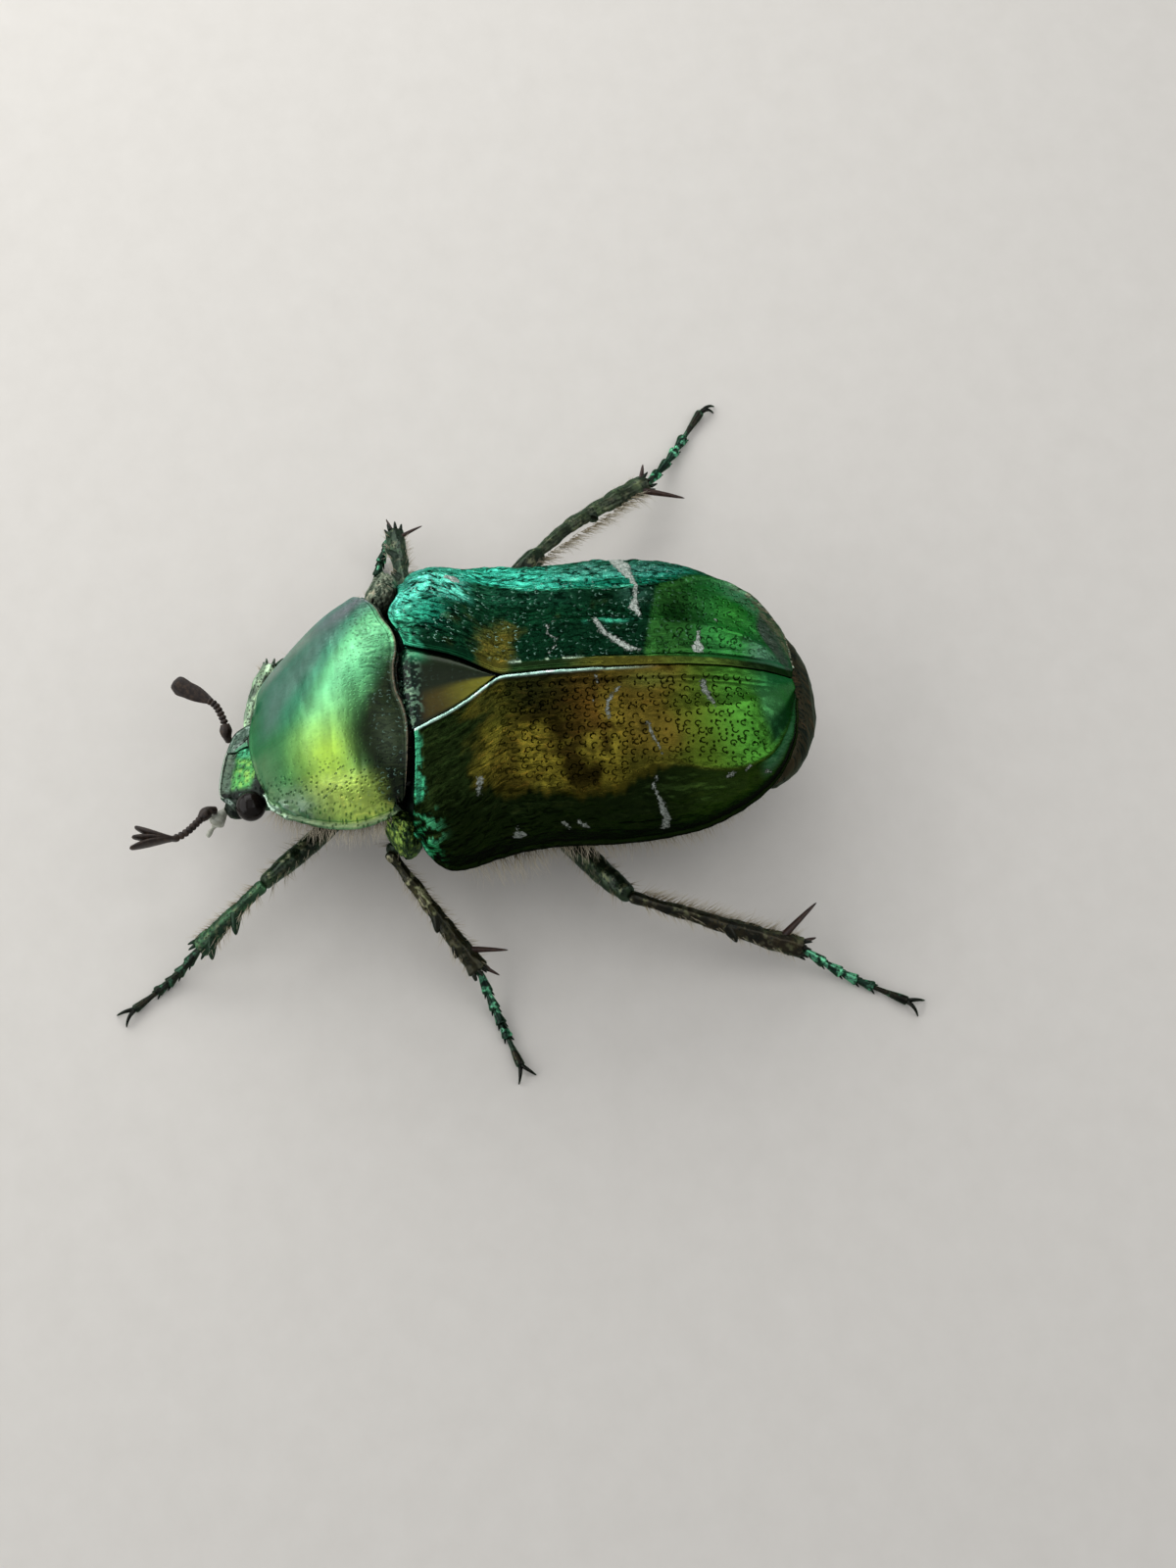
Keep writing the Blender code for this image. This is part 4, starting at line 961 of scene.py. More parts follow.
def shield_tint(s, u, wave, scratches):
    """Green shield with a pale ridge and a lime left part, mostly painted highlight, a grey right side of
    painted reflection, a dark hind part and pale side edges of painted highlight.
    """
    ridge = curve(s, SHIELD_RIDGE)
    # pale ridge band: painted highlight over the own green
    mint_highlight = blend(colour(108, 190, 134), colour(126, 188, 106), smooth(u, -0.1, 0.15))
    beside = np.where(u < ridge, 0.14, 0.25)
    tint = paint(colour(64, 130, 80), hill(u, ridge, beside) * smooth(s, 0.18, 0.40), mint_highlight)
    # grey right side, paler at the edge: painted reflection
    far = blend(colour(182, 158, 164), colour(150, 142, 156), smooth(s, 0.42, 0.58))
    grey = blend(colour(104, 136, 126), far, smooth(u, -0.40, -0.60))
    tint = paint(tint, smooth(u, ridge - 0.12, ridge - 0.28) * smooth(s, 0.0, 0.2), grey)
    tint = paint(tint, hill(u, ridge - 0.22, 0.09) * smooth(s, 0.15, 0.3) * 0.8, colour(60, 132, 100))
    # lime left part: own colour, mostly painted highlight
    tint = paint(tint, hill(s, 0.52, 0.20) * smooth(u, 0.02, 0.30), colour(140, 176, 58))
    tint = paint(tint, smooth(u, 0.38, 0.56) * smooth(s, 0.26, 0.45), colour(174, 204, 94))
    tint = paint(tint, hill(s, 0.25, 0.16) * smooth(u, 0.42, 0.7) * 0.85, colour(150, 186, 146))
    tint = paint(tint, smooth(s, 0.24, 0.04) * smooth(u, ridge - 0.2, ridge) * 0.9, colour(116, 152, 108))
    behind = curve(u, SHIELD_DARK)
    soft = lerp(1.0, 0.45, smooth(u, 0.4, 0.65))
    dark = smooth(s + 0.05 * wave, behind - 0.12 * soft, behind + 0.06 * soft)
    tint = paint(tint, dark, colour(34, 46, 24))
    tint = paint(tint, dark * hill(s, 0.88, 0.04) * hill(u, 0.26, 0.12), colour(64, 78, 56))
    tint = tint * (1 + 0.22 * scratches * smooth(s, 0.2, 0.4))[..., None]
    tint = paint(tint, smooth(s, 0.985, 0.992) * 0.8, colour(96, 86, 70))
    # pale side edges: painted highlight
    return paint(tint, smooth(np.abs(u), 0.90, 0.97) * 0.8, colour(150, 178, 140))


def build_pronotum():
    """Shield with raised side edges, a lip over the scutellum and a wrinkled front left corner."""
    rows, columns = 130, 230
    half = even_columns(lambda u: shield_point(np.full_like(u, 0.7), u), columns // 2 + 1)
    across = np.concatenate((-half[:0:-1], half))
    s, u = np.meshgrid(np.linspace(0, 1, rows), across, indexing="ij")
    grid = shield_point(s, u)
    grid[..., 1] += smooth(s, 0.72, 1.0) * curve(u, SHIELD_LIP)
    grid[..., 0] += 0.22 * smooth(s, 0.74, 1.0) * smooth(-u, 0.45, 0.9)
    rim = 1 - np.abs(u)
    relief = 0.055 * smooth(rim, 0.05, 0.03) - 0.03 * hill(rim, 0.075, 0.015)
    relief += 0.03 * smooth(s, 0.985, 0.99) - 0.03 * hill(s, 0.97, 0.008)
    relief += 0.03 * smooth(s, 0.02, 0.01)
    relief -= 0.06 * hill(s, 0.95, 0.07) * hill(u, 0, 0.25)
    relief += 0.006 * fractal(grid * 2.0, 2, 4) * (0.4 + smooth(s, 0.7, 0.95))
    scratches = field(grid[..., 1] * 6, grid[..., 0] * 1.4, 3, 71)
    crinkle = field(grid[..., 1] * 4, u * 14, 3, 70)
    corner = smooth(s, 0.42, 0.25) * smooth(u, 0.55, 0.8)
    relief += 0.004 * scratches + 0.03 * crinkle * corner
    grid = grid + grid_normals(grid) * relief[..., None]
    tint = shield_tint(s, u, fractal(grid * 0.7, 3, 12), scratches)
    # pale tops of the crinkles at the front left corner: painted highlights
    tint = paint(tint, corner * smooth(crinkle, -0.2, 0.4) * 0.7, colour(170, 196, 180))
    pits = 0.12 + 0.88 * smooth(u, 0.25, 0.55) + 0.3 * smooth(s, 0.6, 0.85) + 0.5 * smooth(u, -0.5, -0.8)
    folds = 0.06 + 0.5 * smooth(s, 0.74, 0.86) + 0.3 * smooth(u, 0.3, 0.6)
    marks = unmarked(np.minimum(pits, 1.0), folds)
    shape = Shape()
    add_plate(shape, grid, SHELL_THICKNESS, tint, seen_from_above(grid), marks)
    return shape.make("shield_plate", SHIELD, "shield", ["pronotum"])


def build_scutellum():
    """Three-cornered plate between the wing cases, with a gold stripe and a granular front."""
    rows, columns = 140, 101
    front, back = ELYTRA_FRONT - 0.42, ELYTRA_FRONT + 2.55
    t, across = np.meshgrid(np.linspace(0, 1, rows), np.linspace(-1, 1, columns), indexing="ij")
    y = lerp(front, back, t)
    half = elytra_inner_x(np.maximum(y, ELYTRA_FRONT + 0.1)) - 0.06
    point = np.sqrt(np.maximum(1 - smooth(t, 0.9, 1.0) ** 2, 0.02))
    half = half * point * lerp(0.88, 1.0, smooth(t, 0.0, 0.22))
    z = elytra_seam_z(np.maximum(y - ELYTRA_FRONT, 0.0) / (ELYTRA_BACK - ELYTRA_FRONT)) - 0.02
    z = z - 0.10 * np.abs(across) ** 6 - 0.24 * smooth(t, 0.22, 0.0)
    grid = np.stack((half * across, y, z), -1)
    stripe = smooth(across + 0.35 * t, 0.15, 0.55) * smooth(across, 0.99, 0.85) * smooth(t, 0.16, 0.4)
    gold = blend(colour(76, 66, 26), colour(128, 126, 38), smooth(t, 0.4, 0.85))
    tint = paint(colour(30, 38, 22), stripe, gold)
    tint = paint(tint, stripe * smooth(t, 0.35, 0.2), colour(84, 52, 24))
    grains = field(y * 14, grid[..., 0] * 14, 1, 80)
    tint = paint(tint, smooth(t, 0.34, 0.22), colour(16, 30, 22))
    # pale grains at the front: painted glints
    tint = paint(tint, smooth(t, 0.32, 0.24) * smooth(grains, 0.1, 0.4), colour(96, 128, 104))
    # green patch at the front right: painted highlight
    tint = paint(tint, hill(t, 0.24, 0.1) * smooth(across, -0.5, -0.9) * 0.8, colour(50, 140, 96))
    marks = unmarked(smooth(t, 0.30, 0.12), 0.1 + 0.7 * smooth(t, 0.3, 0.1))
    shape = Shape()
    add_plate(shape, grid, 0.2, tint, seen_from_above(grid), marks)
    return shape.make("scutellum_plate", SHIELD, "shield", ["scutellum"])


def sphere_rings(rows, columns):
    polar = np.linspace(0.04, math.pi - 0.04, rows)
    angle = 2 * math.pi * np.arange(columns) / columns
    p, a = np.meshgrid(polar, angle, indexing="ij")
    return np.stack((np.sin(p) * np.cos(a), np.sin(p) * np.sin(a), np.cos(p)), -1)


# Side wedges: half sizes, centre, and the colours of their hollows and grains.
MESEPIMERA = {
    1: ((0.74, 0.50, 0.72), (3.42, 6.68, 4.15), colour(40, 62, 24), colour(136, 168, 76)),
    -1: ((0.78, 0.50, 0.95), (-3.50, 6.56, 4.95), colour(104, 112, 94), colour(150, 160, 138)),
}


def build_mesepimeron(side, name):
    """Granular wedge between the shield's hind corner and the shoulder."""
    size, centre, dark, light = MESEPIMERA[side]
    ball = sphere_rings(70, 110)
    turn = math.radians(side * 24)
    lumps = 0.035 * fractal(ball * 6.0, 3, 7)
    local = power(ball, 0.85) * (np.array(size) + lumps[..., None])
    local[..., 0] *= 1 - 0.2 * local[..., 1] / 0.4
    x = math.cos(turn) * local[..., 0] - math.sin(turn) * local[..., 1]
    y = math.sin(turn) * local[..., 0] + math.cos(turn) * local[..., 1]
    grid = np.stack((x, y, local[..., 2]), -1) + np.array(centre)
    grains = smooth(fractal(ball * 9.0, 2, 9), -0.3, 0.5)
    shade = smooth(ball[..., 1], -0.3, 0.6) * smooth(ball[..., 2], 0.9, 0.4) * 0.7
    shape = Shape()
    add_body(shape, grid, paint(blend(dark, light, grains), shade, colour(22, 52, 28)))
    return shape.make("mesepimeron_plate_" + name, BELLY, "shield", ["mesepimeron_" + name])


# ---------------------------------------------------------------- trunk
TRUNK_INSET = 0.4           # from the wing cases in to the top of the trunk
TRUNK_RIM_INSET, TRUNK_RIM_DROP = 0.2, 0.14     # from the wing cases' margin to the belly's side
THORAX_HALF = ((6.84, 2.9), (7.4, 3.2), (8.2, 3.9), (9.2, 4.25), (11.2, 4.1))
THORAX_BOTTOM = ((6.84, 2.3), (7.6, 1.75), (8.4, 1.45), (9.4, 1.35), (11.2, 1.4))
ABDOMEN_HALF = ((11.2, 4.1), (12.6, 4.2), (14.2, 4.1), (15.6, 3.8), (16.7, 3.3), (17.5, 2.8))
ABDOMEN_BOTTOM = ((11.2, 1.4), (13.0, 1.35), (15.0, 1.5), (16.6, 1.85), (17.5, 2.15))
BELLY_RING = 1.27           # length of one belly segment


def trunk_grid(stations, half_knots, bottom_knots, count=48):
    """Rings of the trunk: the top follows the wing cases, the belly is a rounded keel."""
    y = np.asarray(stations)[:, None]
    s = np.clip((y - ELYTRA_FRONT) / (ELYTRA_BACK - ELYTRA_FRONT), 0.0, 0.97)
    half = elytra_half_width(s) - TRUNK_INSET
    margin = elytra_margin_z(s)
    top = elytra_seam_z(s) - TRUNK_INSET - 0.1
    lower = np.minimum(curve(y, half_knots), elytra_half_width(s) - TRUNK_RIM_INSET)
    angle = math.pi / 2 * np.linspace(-1, 1, count)[None, :]
    sine, cosine = np.sin(angle), np.maximum(np.cos(angle), 0.0)
    low = np.minimum(margin - 0.02, top - 0.1)
    upper = np.stack((half * power(sine, 0.76), y + sine * 0, low + (top - low) * cosine ** 0.8), -1)
    floor_z = curve(y, bottom_knots)
    side_z = margin - TRUNK_RIM_DROP
    belly_z = side_z - (side_z - floor_z) * cosine ** 0.9
    belly = np.stack((-lower * power(sine, 1.05), y + sine * 0, belly_z), -1)
    return np.concatenate((upper, belly), 1)


def add_body(shape, grid, tone):
    """Rounded body with belly looks, pitted and folded all over."""
    surf = np.stack((grid[..., 1], grid[..., 0] + grid[..., 2], grid[..., 2] * 0), -1)
    add_tube(shape, grid, WHOLE, tone, surf)
    shape.values.setdefault("marks", []).append(np.ones((grid.shape[0] * grid.shape[1] + 2, 3)))


def build_thorax():
    """Underside between the front and hind legs, narrowed to a neck under the shield's hind edge, its top
    painted near-black as shade under the shield and the wing cases.
    """
    y = np.linspace(5.8, 11.2, 110)
    grid = trunk_grid(y, THORAX_HALF, THORAX_BOTTOM)
    neck = smooth(y, 7.05, 6.55)[:, None]
    grid[..., 0] *= 1 - 0.16 * neck
    grid[..., 2] = lerp(grid[..., 2], 3.9, 0.16 * neck)
    lumps = 0.03 * fractal(grid * 2.4, 3, 6)
    grid[..., 2] += lumps * smooth(grid[..., 2], 4.2, 3.6)
    groove = hill(grid[..., 1], 8.6, 0.06) + hill(grid[..., 1], 10.4, 0.05)
    grid[..., 2] += 0.06 * groove * smooth(grid[..., 2], 3.8, 2.0)
    shape = Shape()
    # top of the trunk painted near-black: painted shade under the shield and wing cases
    add_body(shape, grid, paint(colour(44, 52, 30), smooth(grid[..., 2], 4.0, 4.6), colour(6, 8, 6)))
    return shape.make("thorax_skin", BELLY, "underside", ["thorax"])


def build_abdomen():
    """Belly in ring segments that overlap backward."""
    y = np.linspace(11.12, 17.5, 150)
    grid = trunk_grid(y, ABDOMEN_HALF, ABDOMEN_BOTTOM)
    ring = (grid[..., 1] - 11.2) / BELLY_RING
    part = ring - np.floor(ring)
    belly = smooth(grid[..., 2], 4.2, 3.4)
    step = 0.07 * smooth(part, 0.0, 0.85) * smooth(part, 1.0, 0.93)
    centre = np.array((0, 0, 3.2))
    outward = unit((grid - centre) * (1, 0, 1))
    grid = grid + outward * ((step - 0.07 + 0.012 * fractal(grid * 3.0, 3, 2)) * belly)[..., None]
    shape = Shape()
    add_body(shape, grid, colour(40, 46, 26))
    return shape.make("abdomen_skin", BELLY, "underside", ["abdomen"])


def build_prothorax():
    """Body of the first segment, hung in the shield."""
    s, u = np.meshgrid(np.linspace(0.16, 0.93, 60), np.linspace(-1, 1, 48), indexing="ij")
    upper = shield_point(s, u * 0.9, 0.42)
    right, left = (shield_point(s, np.full_like(s, side), 0.2) for side in (-1.0, 1.0))
    middle = (left + right) / 2
    angle = math.pi / 2 * u
    cosine = np.maximum(np.cos(angle), 0.0)
    lower = middle - (left - right) * (0.5 * power(np.sin(angle), 1.1))[..., None]
    floor_z = curve(s, ((0.2, 1.95), (0.5, 1.65), (0.8, 1.65), (0.98, 2.0)))
    lower[..., 2] = lerp(middle[..., 2] - 0.12, floor_z, cosine ** 0.95)
    lower[..., 2] += 0.02 * fractal(lower * 3, 3, 1)
    grid = np.concatenate((upper, lower), 1)
    shape = Shape()
    # top painted near-black: painted shade inside the shield
    add_body(shape, grid, paint(colour(46, 56, 32), smooth(grid[..., 2], 4.2, 4.8), colour(10, 14, 10)))
    return shape.make("prothorax_skin", BELLY, "underside", ["prothorax"])


PYGIDIUM_STATIONS = (       # y, half width, top, bottom
    (17.3, 2.62, 3.9, 2.2), (17.6, 2.62, 3.9, 2.2), (17.85, 2.5, 3.92, 2.25), (18.25, 2.2, 3.9, 2.38),
    (18.6, 1.75, 3.72, 2.5), (18.88, 1.15, 3.45, 2.65), (19.0, 0.55, 3.2, 2.8), (19.02, 0.1, 3.02, 2.98))


def build_pygidium():
    """Tail plate below the wing cases' hind ends."""
    table = np.array(PYGIDIUM_STATIONS)
    at = np.linspace(0, len(table) - 1, 70)
    y, half, top, bottom = (np.interp(at, np.arange(len(table)), table[:, k])[:, None] for k in range(4))
    angle = 2 * math.pi * np.arange(96)[None, :] / 96
    grid = np.stack((half * power(np.cos(angle), 0.85), y + angle * 0,
                     (top + bottom) / 2 + (top - bottom) / 2 * power(np.sin(angle), 0.8)), -1)
    grid = grid + unit(grid - (0, 17.6, 3.1)) * (0.02 * fractal(grid * (1.5, 4, 4), 3, 3))[..., None]
    shape = Shape()
    add_body(shape, grid, colour(50, 38, 22))
    return shape.make("pygidium_plate", BELLY, "underside", ["pygidium"])


# ---------------------------------------------------------------- head
HEAD_STATIONS = (           # back, left half width, right half width, top, bottom
    (0.0, 0.64, 0.84, 2.12, 1.95), (0.03, 0.72, 0.90, 2.20, 1.9), (0.12, 0.78, 0.95, 2.28, 1.78),
    (0.45, 0.90, 1.02, 2.48, 1.65), (0.8, 0.98, 1.0, 2.70, 1.62), (1.05, 1.0, 1.0, 2.84, 1.66),
    (1.3, 1.02, 1.02, 2.92, 1.76), (1.55, 0.98, 0.98, 2.94, 1.8), (1.75, 0.9, 0.9, 2.9, 1.85),
    (2.1, 0.8, 0.8, 2.8, 1.95))
CLYPEUS_BOW = 0.08          # how far the front edge bows forward in the middle
# Outer and inner edge of the plate at the right side of the face, in head coordinates.
BROW_OUTER = ((-0.70, -0.03, 2.16), (-0.98, 0.02, 2.16), (-1.30, 0.11, 2.18), (-1.50, 0.29, 2.22),
              (-1.66, 0.56, 2.30), (-1.68, 0.86, 2.34))
BROW_INNER = ((-0.70, 0.30, 2.36), (-0.80, 0.42, 2.42), (-0.86, 0.56, 2.50), (-0.90, 0.70, 2.56),
              (-0.92, 0.86, 2.62), (-0.92, 1.02, 2.66))
# Paths in head coordinates for the left side; the right side mirrors them.
EYE_RIDGE = ((0.78, 0.14, 2.24), (0.90, 0.36, 2.36), (1.05, 0.52, 2.44), (1.22, 0.68, 2.46))
PALP_LOBE = ((0.65, 0.25, 1.45), (0.92, 0.06, 1.42), (1.16, -0.10, 1.38), (1.32, -0.20, 1.33))
PALP_TIP = ((1.16, -0.10, 1.30), (1.28, -0.18, 1.22), (1.42, -0.26, 1.16), (1.62, -0.35, 1.10))


def head_path(knots, side, count):
    """Smooth path through knots in head coordinates; side is 1, or -1 to mirror them."""
    return spread([head_point(side * across, back, z) for across, back, z in knots], count)


def head_tint(across, back, rim, upper, grains):
    """Green forehead behind a grey clypeus, with painted shade on the left side by the eye and on the back
    under the shield, a pale rim and a dark underside.
    """
    tint = paint(colour(44, 66, 48), smooth(back, 0.42, 0.30) * 0.9, colour(78, 96, 80))
    leaf = smooth(back, 0.30, 0.46) * smooth(back + 0.15 * across, 1.12, 0.95)
    inner = leaf * smooth(across, 0.62, 0.40) * smooth(across, -1.0, -0.85)
    tint = paint(tint, inner * smooth(grains, -1.2, -0.3), colour(76, 152, 76))
    tint = paint(tint, inner * smooth(grains, 0.0, 0.5) * hill(across, 0.05, 0.5), colour(130, 184, 84))
    tint = paint(tint, inner * smooth(across, -0.35, -0.6), colour(74, 168, 120))
    # near-black left side beside the eye: painted shade
    tint = paint(tint, smooth(across, 0.52, 0.66) * smooth(back, -0.02, 0.1), colour(12, 15, 10))
    # dark back of the head under the shield's edge: painted shade
    tint = paint(tint, smooth(back + 0.15 * across, 1.05, 1.2), colour(14, 22, 14))
    tint = paint(tint, rim * smooth(across, 0.85, 0.7), colour(170, 184, 168))
    return paint(tint, 1 - upper, colour(30, 32, 24))


def build_head():
    """Capsule with a raised clypeus rim, a low keel and coarse pits."""
    table = np.array(HEAD_STATIONS)
    back = np.linspace(0, 1, 110) ** 1.3 * table[-1, 0]
    left, right, top, bottom = (np.interp(back, table[:, 0], table[:, k])[:, None] for k in (1, 2, 3, 4))
    angle, back = np.meshgrid(2 * math.pi * np.arange(150) / 150, back)
    half = np.where(np.cos(angle) > 0, left, right)
    across = half * power(np.cos(angle), 0.7)
    z = (top + bottom) / 2 + (top - bottom) / 2 * power(np.sin(angle), 0.75)
    upper = smooth(np.sin(angle), 0.0, 0.3)
    near_side = smooth(across / left, 0.88, 0.95) * smooth(back, 0.5, 0.3)
    rim = np.minimum(smooth(back, 0.09, 0.05) + near_side, 1.0)
    z = z + upper * (0.05 * rim - 0.05 * hill(back, 0.24, 0.16) * (1 - rim))
    z = z + upper * 0.05 * hill(across, 0, 0.12) * smooth(back, 0.3, 0.7)
    bow = CLYPEUS_BOW * (1 - np.abs(across / half) ** 3) * smooth(back, 0.7, 0.0)
    grid = head_point(across, back - bow, z)
    grains = fractal(grid * 7, 2, 5)
    grid[..., 2] += upper * 0.016 * grains
    surf = np.stack((back, across, z * 0), -1)
    shape = Shape()
    add_tube(shape, grid, (0, 0, 0.7, 1), head_tint(across, back, rim, upper, grains), surf)
    shape.values["marks"] = [np.tile((0.7, 0.35, 1.0), (grid.shape[0] * grid.shape[1] + 2, 1))]
    return shape.make("head_capsule", SHIELD, "shield", ["head"])


def build_brow():
    """Flat cheek plate that widens the right side of the face, in front of the right eye."""
    rows, columns = 60, 24
    outer = head_path(BROW_OUTER, 1, rows)
    inner = head_path(BROW_INNER, 1, rows)
    c = np.tile(np.linspace(0, 1, columns), (rows, 1))      # 0 at the inner edge, 1 at the outer
    grid = lerp(inner[:, None], outer[:, None], c[..., None])
    grains = fractal(grid * 7, 2, 5)
    grid[..., 2] += 0.05 * np.sin(math.pi * c) + 0.03 * smooth(c, 0.85, 0.93) + 0.01 * grains
    tint = blend(colour(84, 104, 92), colour(126, 150, 136), smooth(grains, -0.2, 0.5))
    tint = paint(tint, smooth(c, 0.93, 0.97), colour(40, 52, 44))
    tint = paint(tint, smooth(c, 0.3, 0.1) * 0.8, colour(70, 140, 100))
    shape = Shape()
    add_plate(shape, grid, 0.1, tint, seen_from_above(grid), unmarked(np.full(c.shape, 0.6), 0.3))
    return shape.make("brow_right", SHIELD, "shield")


def build_eye(side, name):
    ball = sphere_rings(48, 64)
    centre = head_point(side * (EYE_SIDE - 0.06), EYE_BACK, EYE_Z + 0.08)
    shape = Shape()
    add_tube(shape, ball * EYE_RADIUS * (1.08, 1.06, 0.98) + centre, WHOLE, np.zeros(3),
             ball[..., [2, 0, 1]] * EYE_RADIUS)
    shape.make("eye_ball_" + name, EYE, "eye", ["eye_" + name])


def build_eye_ridge(side, name):
    """Glossy ridge in front of the eye with a painted glint in its middle, on a small cheek that is
    near-black on the left as painted shade.
    """
    t = np.linspace(0, 1, 40)
    size = 0.085 * rounded(t, 0.2, 0.3)
    rings = rings_along(head_path(EYE_RIDGE, side, 40), size, size * 0.7, 20)
    # pale middle of the ridge: painted glint
    glint = blend(colour(14, 18, 12), colour(110, 124, 116), np.tile(hill(t, 0.4, 0.22)[:, None], 20))
    shape = Shape()
    add_tube(shape, rings, tile(0, 2), glint)
    ball = sphere_rings(48, 64)
    ball = ball + 0.03 * fractal(ball * 4, 2, 6)[..., None] * ball
    cheek = ball * (0.36, 0.40, 0.30) + head_point(side * 0.95, 0.60, 2.12)
    # near-black cheek on the left: painted shade
    add_tube(shape, cheek, tile(1, 2), colour(12, 15, 10) if side > 0 else colour(34, 52, 36))
    shape.make("eye_ridge_" + name, LEG, "shield")


ANTENNAE = {
    "left": {
        "stem": ((1.22, 1.02, 1.62), (1.3, 0.8, 1.78), (1.57, 0.6, 1.95), (1.97, 0.25, 2.1),
                 (2.14, 0.02, 2.15), (2.23, -0.2, 2.15)),
        "tips": ((1.76, -1.36, 2.2), (2.06, -1.46, 2.15), (2.4, -1.54, 2.1)),
        "half": (0.095, 0.24),
        "leaf": ((0, 0.6), (0.2, 0.8), (0.5, 1.05), (0.75, 0.95), (1, 0.5)),
    },
    "right": {
        "stem": ((-0.95, 1.5, 1.62), (-1.1, 1.45, 1.85), (-1.46, 1.41, 2.0), (-1.92, 1.22, 2.1),
                 (-2.16, 0.99, 2.1)),
        "tips": ((-2.85, -0.02, 2.22), (-2.83, -0.02, 2.05), (-2.81, -0.02, 1.9)),
        "half": (0.26, 0.085),
        "leaf": ((0, 0.3), (0.2, 0.6), (0.5, 0.95), (0.85, 1.05), (1, 0.8)),
    },
}


SCAPE_SHARE = 0.40          # share of the stem taken by its long first joint
LEAF_GAP = 0.05             # sideways bow between neighbouring leaves of a club


def build_antenna_stem(name):
    """Long first joint and a row of seven beads."""
    count = 260
    path = spread(ANTENNAE[name]["stem"], count)
    t = np.linspace(0, 1, count)
    scape = 0.11 + 0.08 * hill(t, 0.26, 0.12)
    beads = 0.075 + 0.045 * np.abs(np.sin(math.pi * (t - SCAPE_SHARE) / 0.6 * 7)) ** 0.7
    radius = np.where(t < SCAPE_SHARE, scape, beads) * rounded(t, 0.03, 0.02)
    radius = np.where(np.abs(t - SCAPE_SHARE) < 0.012, 0.065, radius)
    shape = Shape()
    add_tube(shape, rings_along(path, radius, radius, 20), WHOLE, FEELER_BROWN)
    shape.make("feeler_stem_" + name, HORN, "horn", [f"antenna_{name}_stem"])


def build_antenna_club(name):
    """Club of three leaves, which spread a little from one root."""
    spec = ANTENNAE[name]
    wide, high = spec["half"]
    base = np.array(spec["stem"][-1])
    t = np.linspace(0, 1, 40)
    size = curve(t, spec["leaf"]) * rounded(t, 0.05, 0.07)
    shape = Shape()
    for k, tip in enumerate(np.array(spec["tips"])):
        sideways = unit(np.cross(tip - base, UP)) * (LEAF_GAP * (k - 1))
        path = line(base - unit(tip - base) * 0.12, tip, 40) + sideways * np.sin(math.pi * t)[:, None]
        add_tube(shape, rings_along(path, wide * size, high * size, 24), tile(k, 3), FEELER_BROWN)
    shape.make("feeler_club_" + name, HORN, "horn", [f"antenna_{name}_club"])


def build_palp(side, name):
    """Pale round lobe beside the mouth and a thin jointed tip."""
    reach = 1.0 if side > 0 else 0.6
    root = head_point(side * 0.65, 0.25, 1.45)
    shape = Shape()
    t = np.linspace(0, 1, 40)
    size = curve(t, ((0, 0.08), (0.35, 0.12), (0.55, 0.2), (0.8, 0.27), (1, 0.25))) * rounded(t, 0.1, 0.25)
    path = lerp(root, head_path(PALP_LOBE, side, 40), reach)
    add_tube(shape, rings_along(path, size, size, 24), tile(0, 2), np.ones(3))
    t = np.linspace(0, 1, 60)
    size = (0.055 + 0.025 * np.abs(np.sin(2 * math.pi * t))) * rounded(t, 0.04, 0.06)
    path = lerp(root, head_path(PALP_TIP, side, 60), reach)
    add_tube(shape, rings_along(path, size, size, 16), tile(1, 2), np.ones(3))
    return shape.make("palp_piece_" + name, PALE_HORN, "horn", ["palp_" + name])


# ---------------------------------------------------------------- legs
LEGS = {                    # hip, knee, ankle and toe
    "front_left": ((1.75, 4.85, 1.75), (4.05, 2.36, 2.5), (5.3, 0.24, 1.0), (6.75, -1.85, PAD_Z)),
    "front_right": ((-0.95, 4.75, 1.4), (-0.7, 2.15, 1.25), (-3.62, 2.85, 0.9), (-3.95, 5.3, PAD_Z)),
    "middle_left": ((2.05, 7.75, 1.4), (3.35, 6.1, 2.4), (6.8, 8.44, 1.0), (9.55, 9.4, PAD_Z)),
    "middle_right": ((-2.1, 8.05, 1.4), (-3.6, 7.3, 2.3), (-7.85, 6.9, 1.05), (-5.5, 6.2, PAD_Z)),
    "hind_left": ((2.8, 11.1, 1.4), (5.43, 12.99, 2.5), (7.0, 17.98, 1.0), (8.65, 20.95, PAD_Z)),
    "hind_right": ((-2.85, 10.75, 1.4), (-5.5, 10.8, 2.6), (-8.83, 14.95, 1.0), (-11.7, 17.0, PAD_Z)),
}
FEMUR_HALF = {"front": (0.29, 0.36), "middle": (0.31, 0.38), "hind": (0.36, 0.46)}
TIBIA_HALF = {"front": (0.27, 0.2), "middle": (0.25, 0.21), "hind": (0.27, 0.22)}
HIP_SIZE = {"front": (0.75, 0.5, 0.5), "middle": (0.75, 0.5, 0.42), "hind": (1.1, 0.5, 0.42)}
HIP_CENTRE = {"front": (0.95, 5.35, 1.72), "middle": (1.2, 8.2, 1.42), "hind": (1.6, 10.75, 1.4)}
TEETH = {                   # of the shins: share of the length, and reach
    "front": ((0.84, 0.30), (0.46, 0.26)),
    "middle": ((0.55, 0.08), (0.76, 0.10)),
    "hind": ((0.57, 0.14),),
}
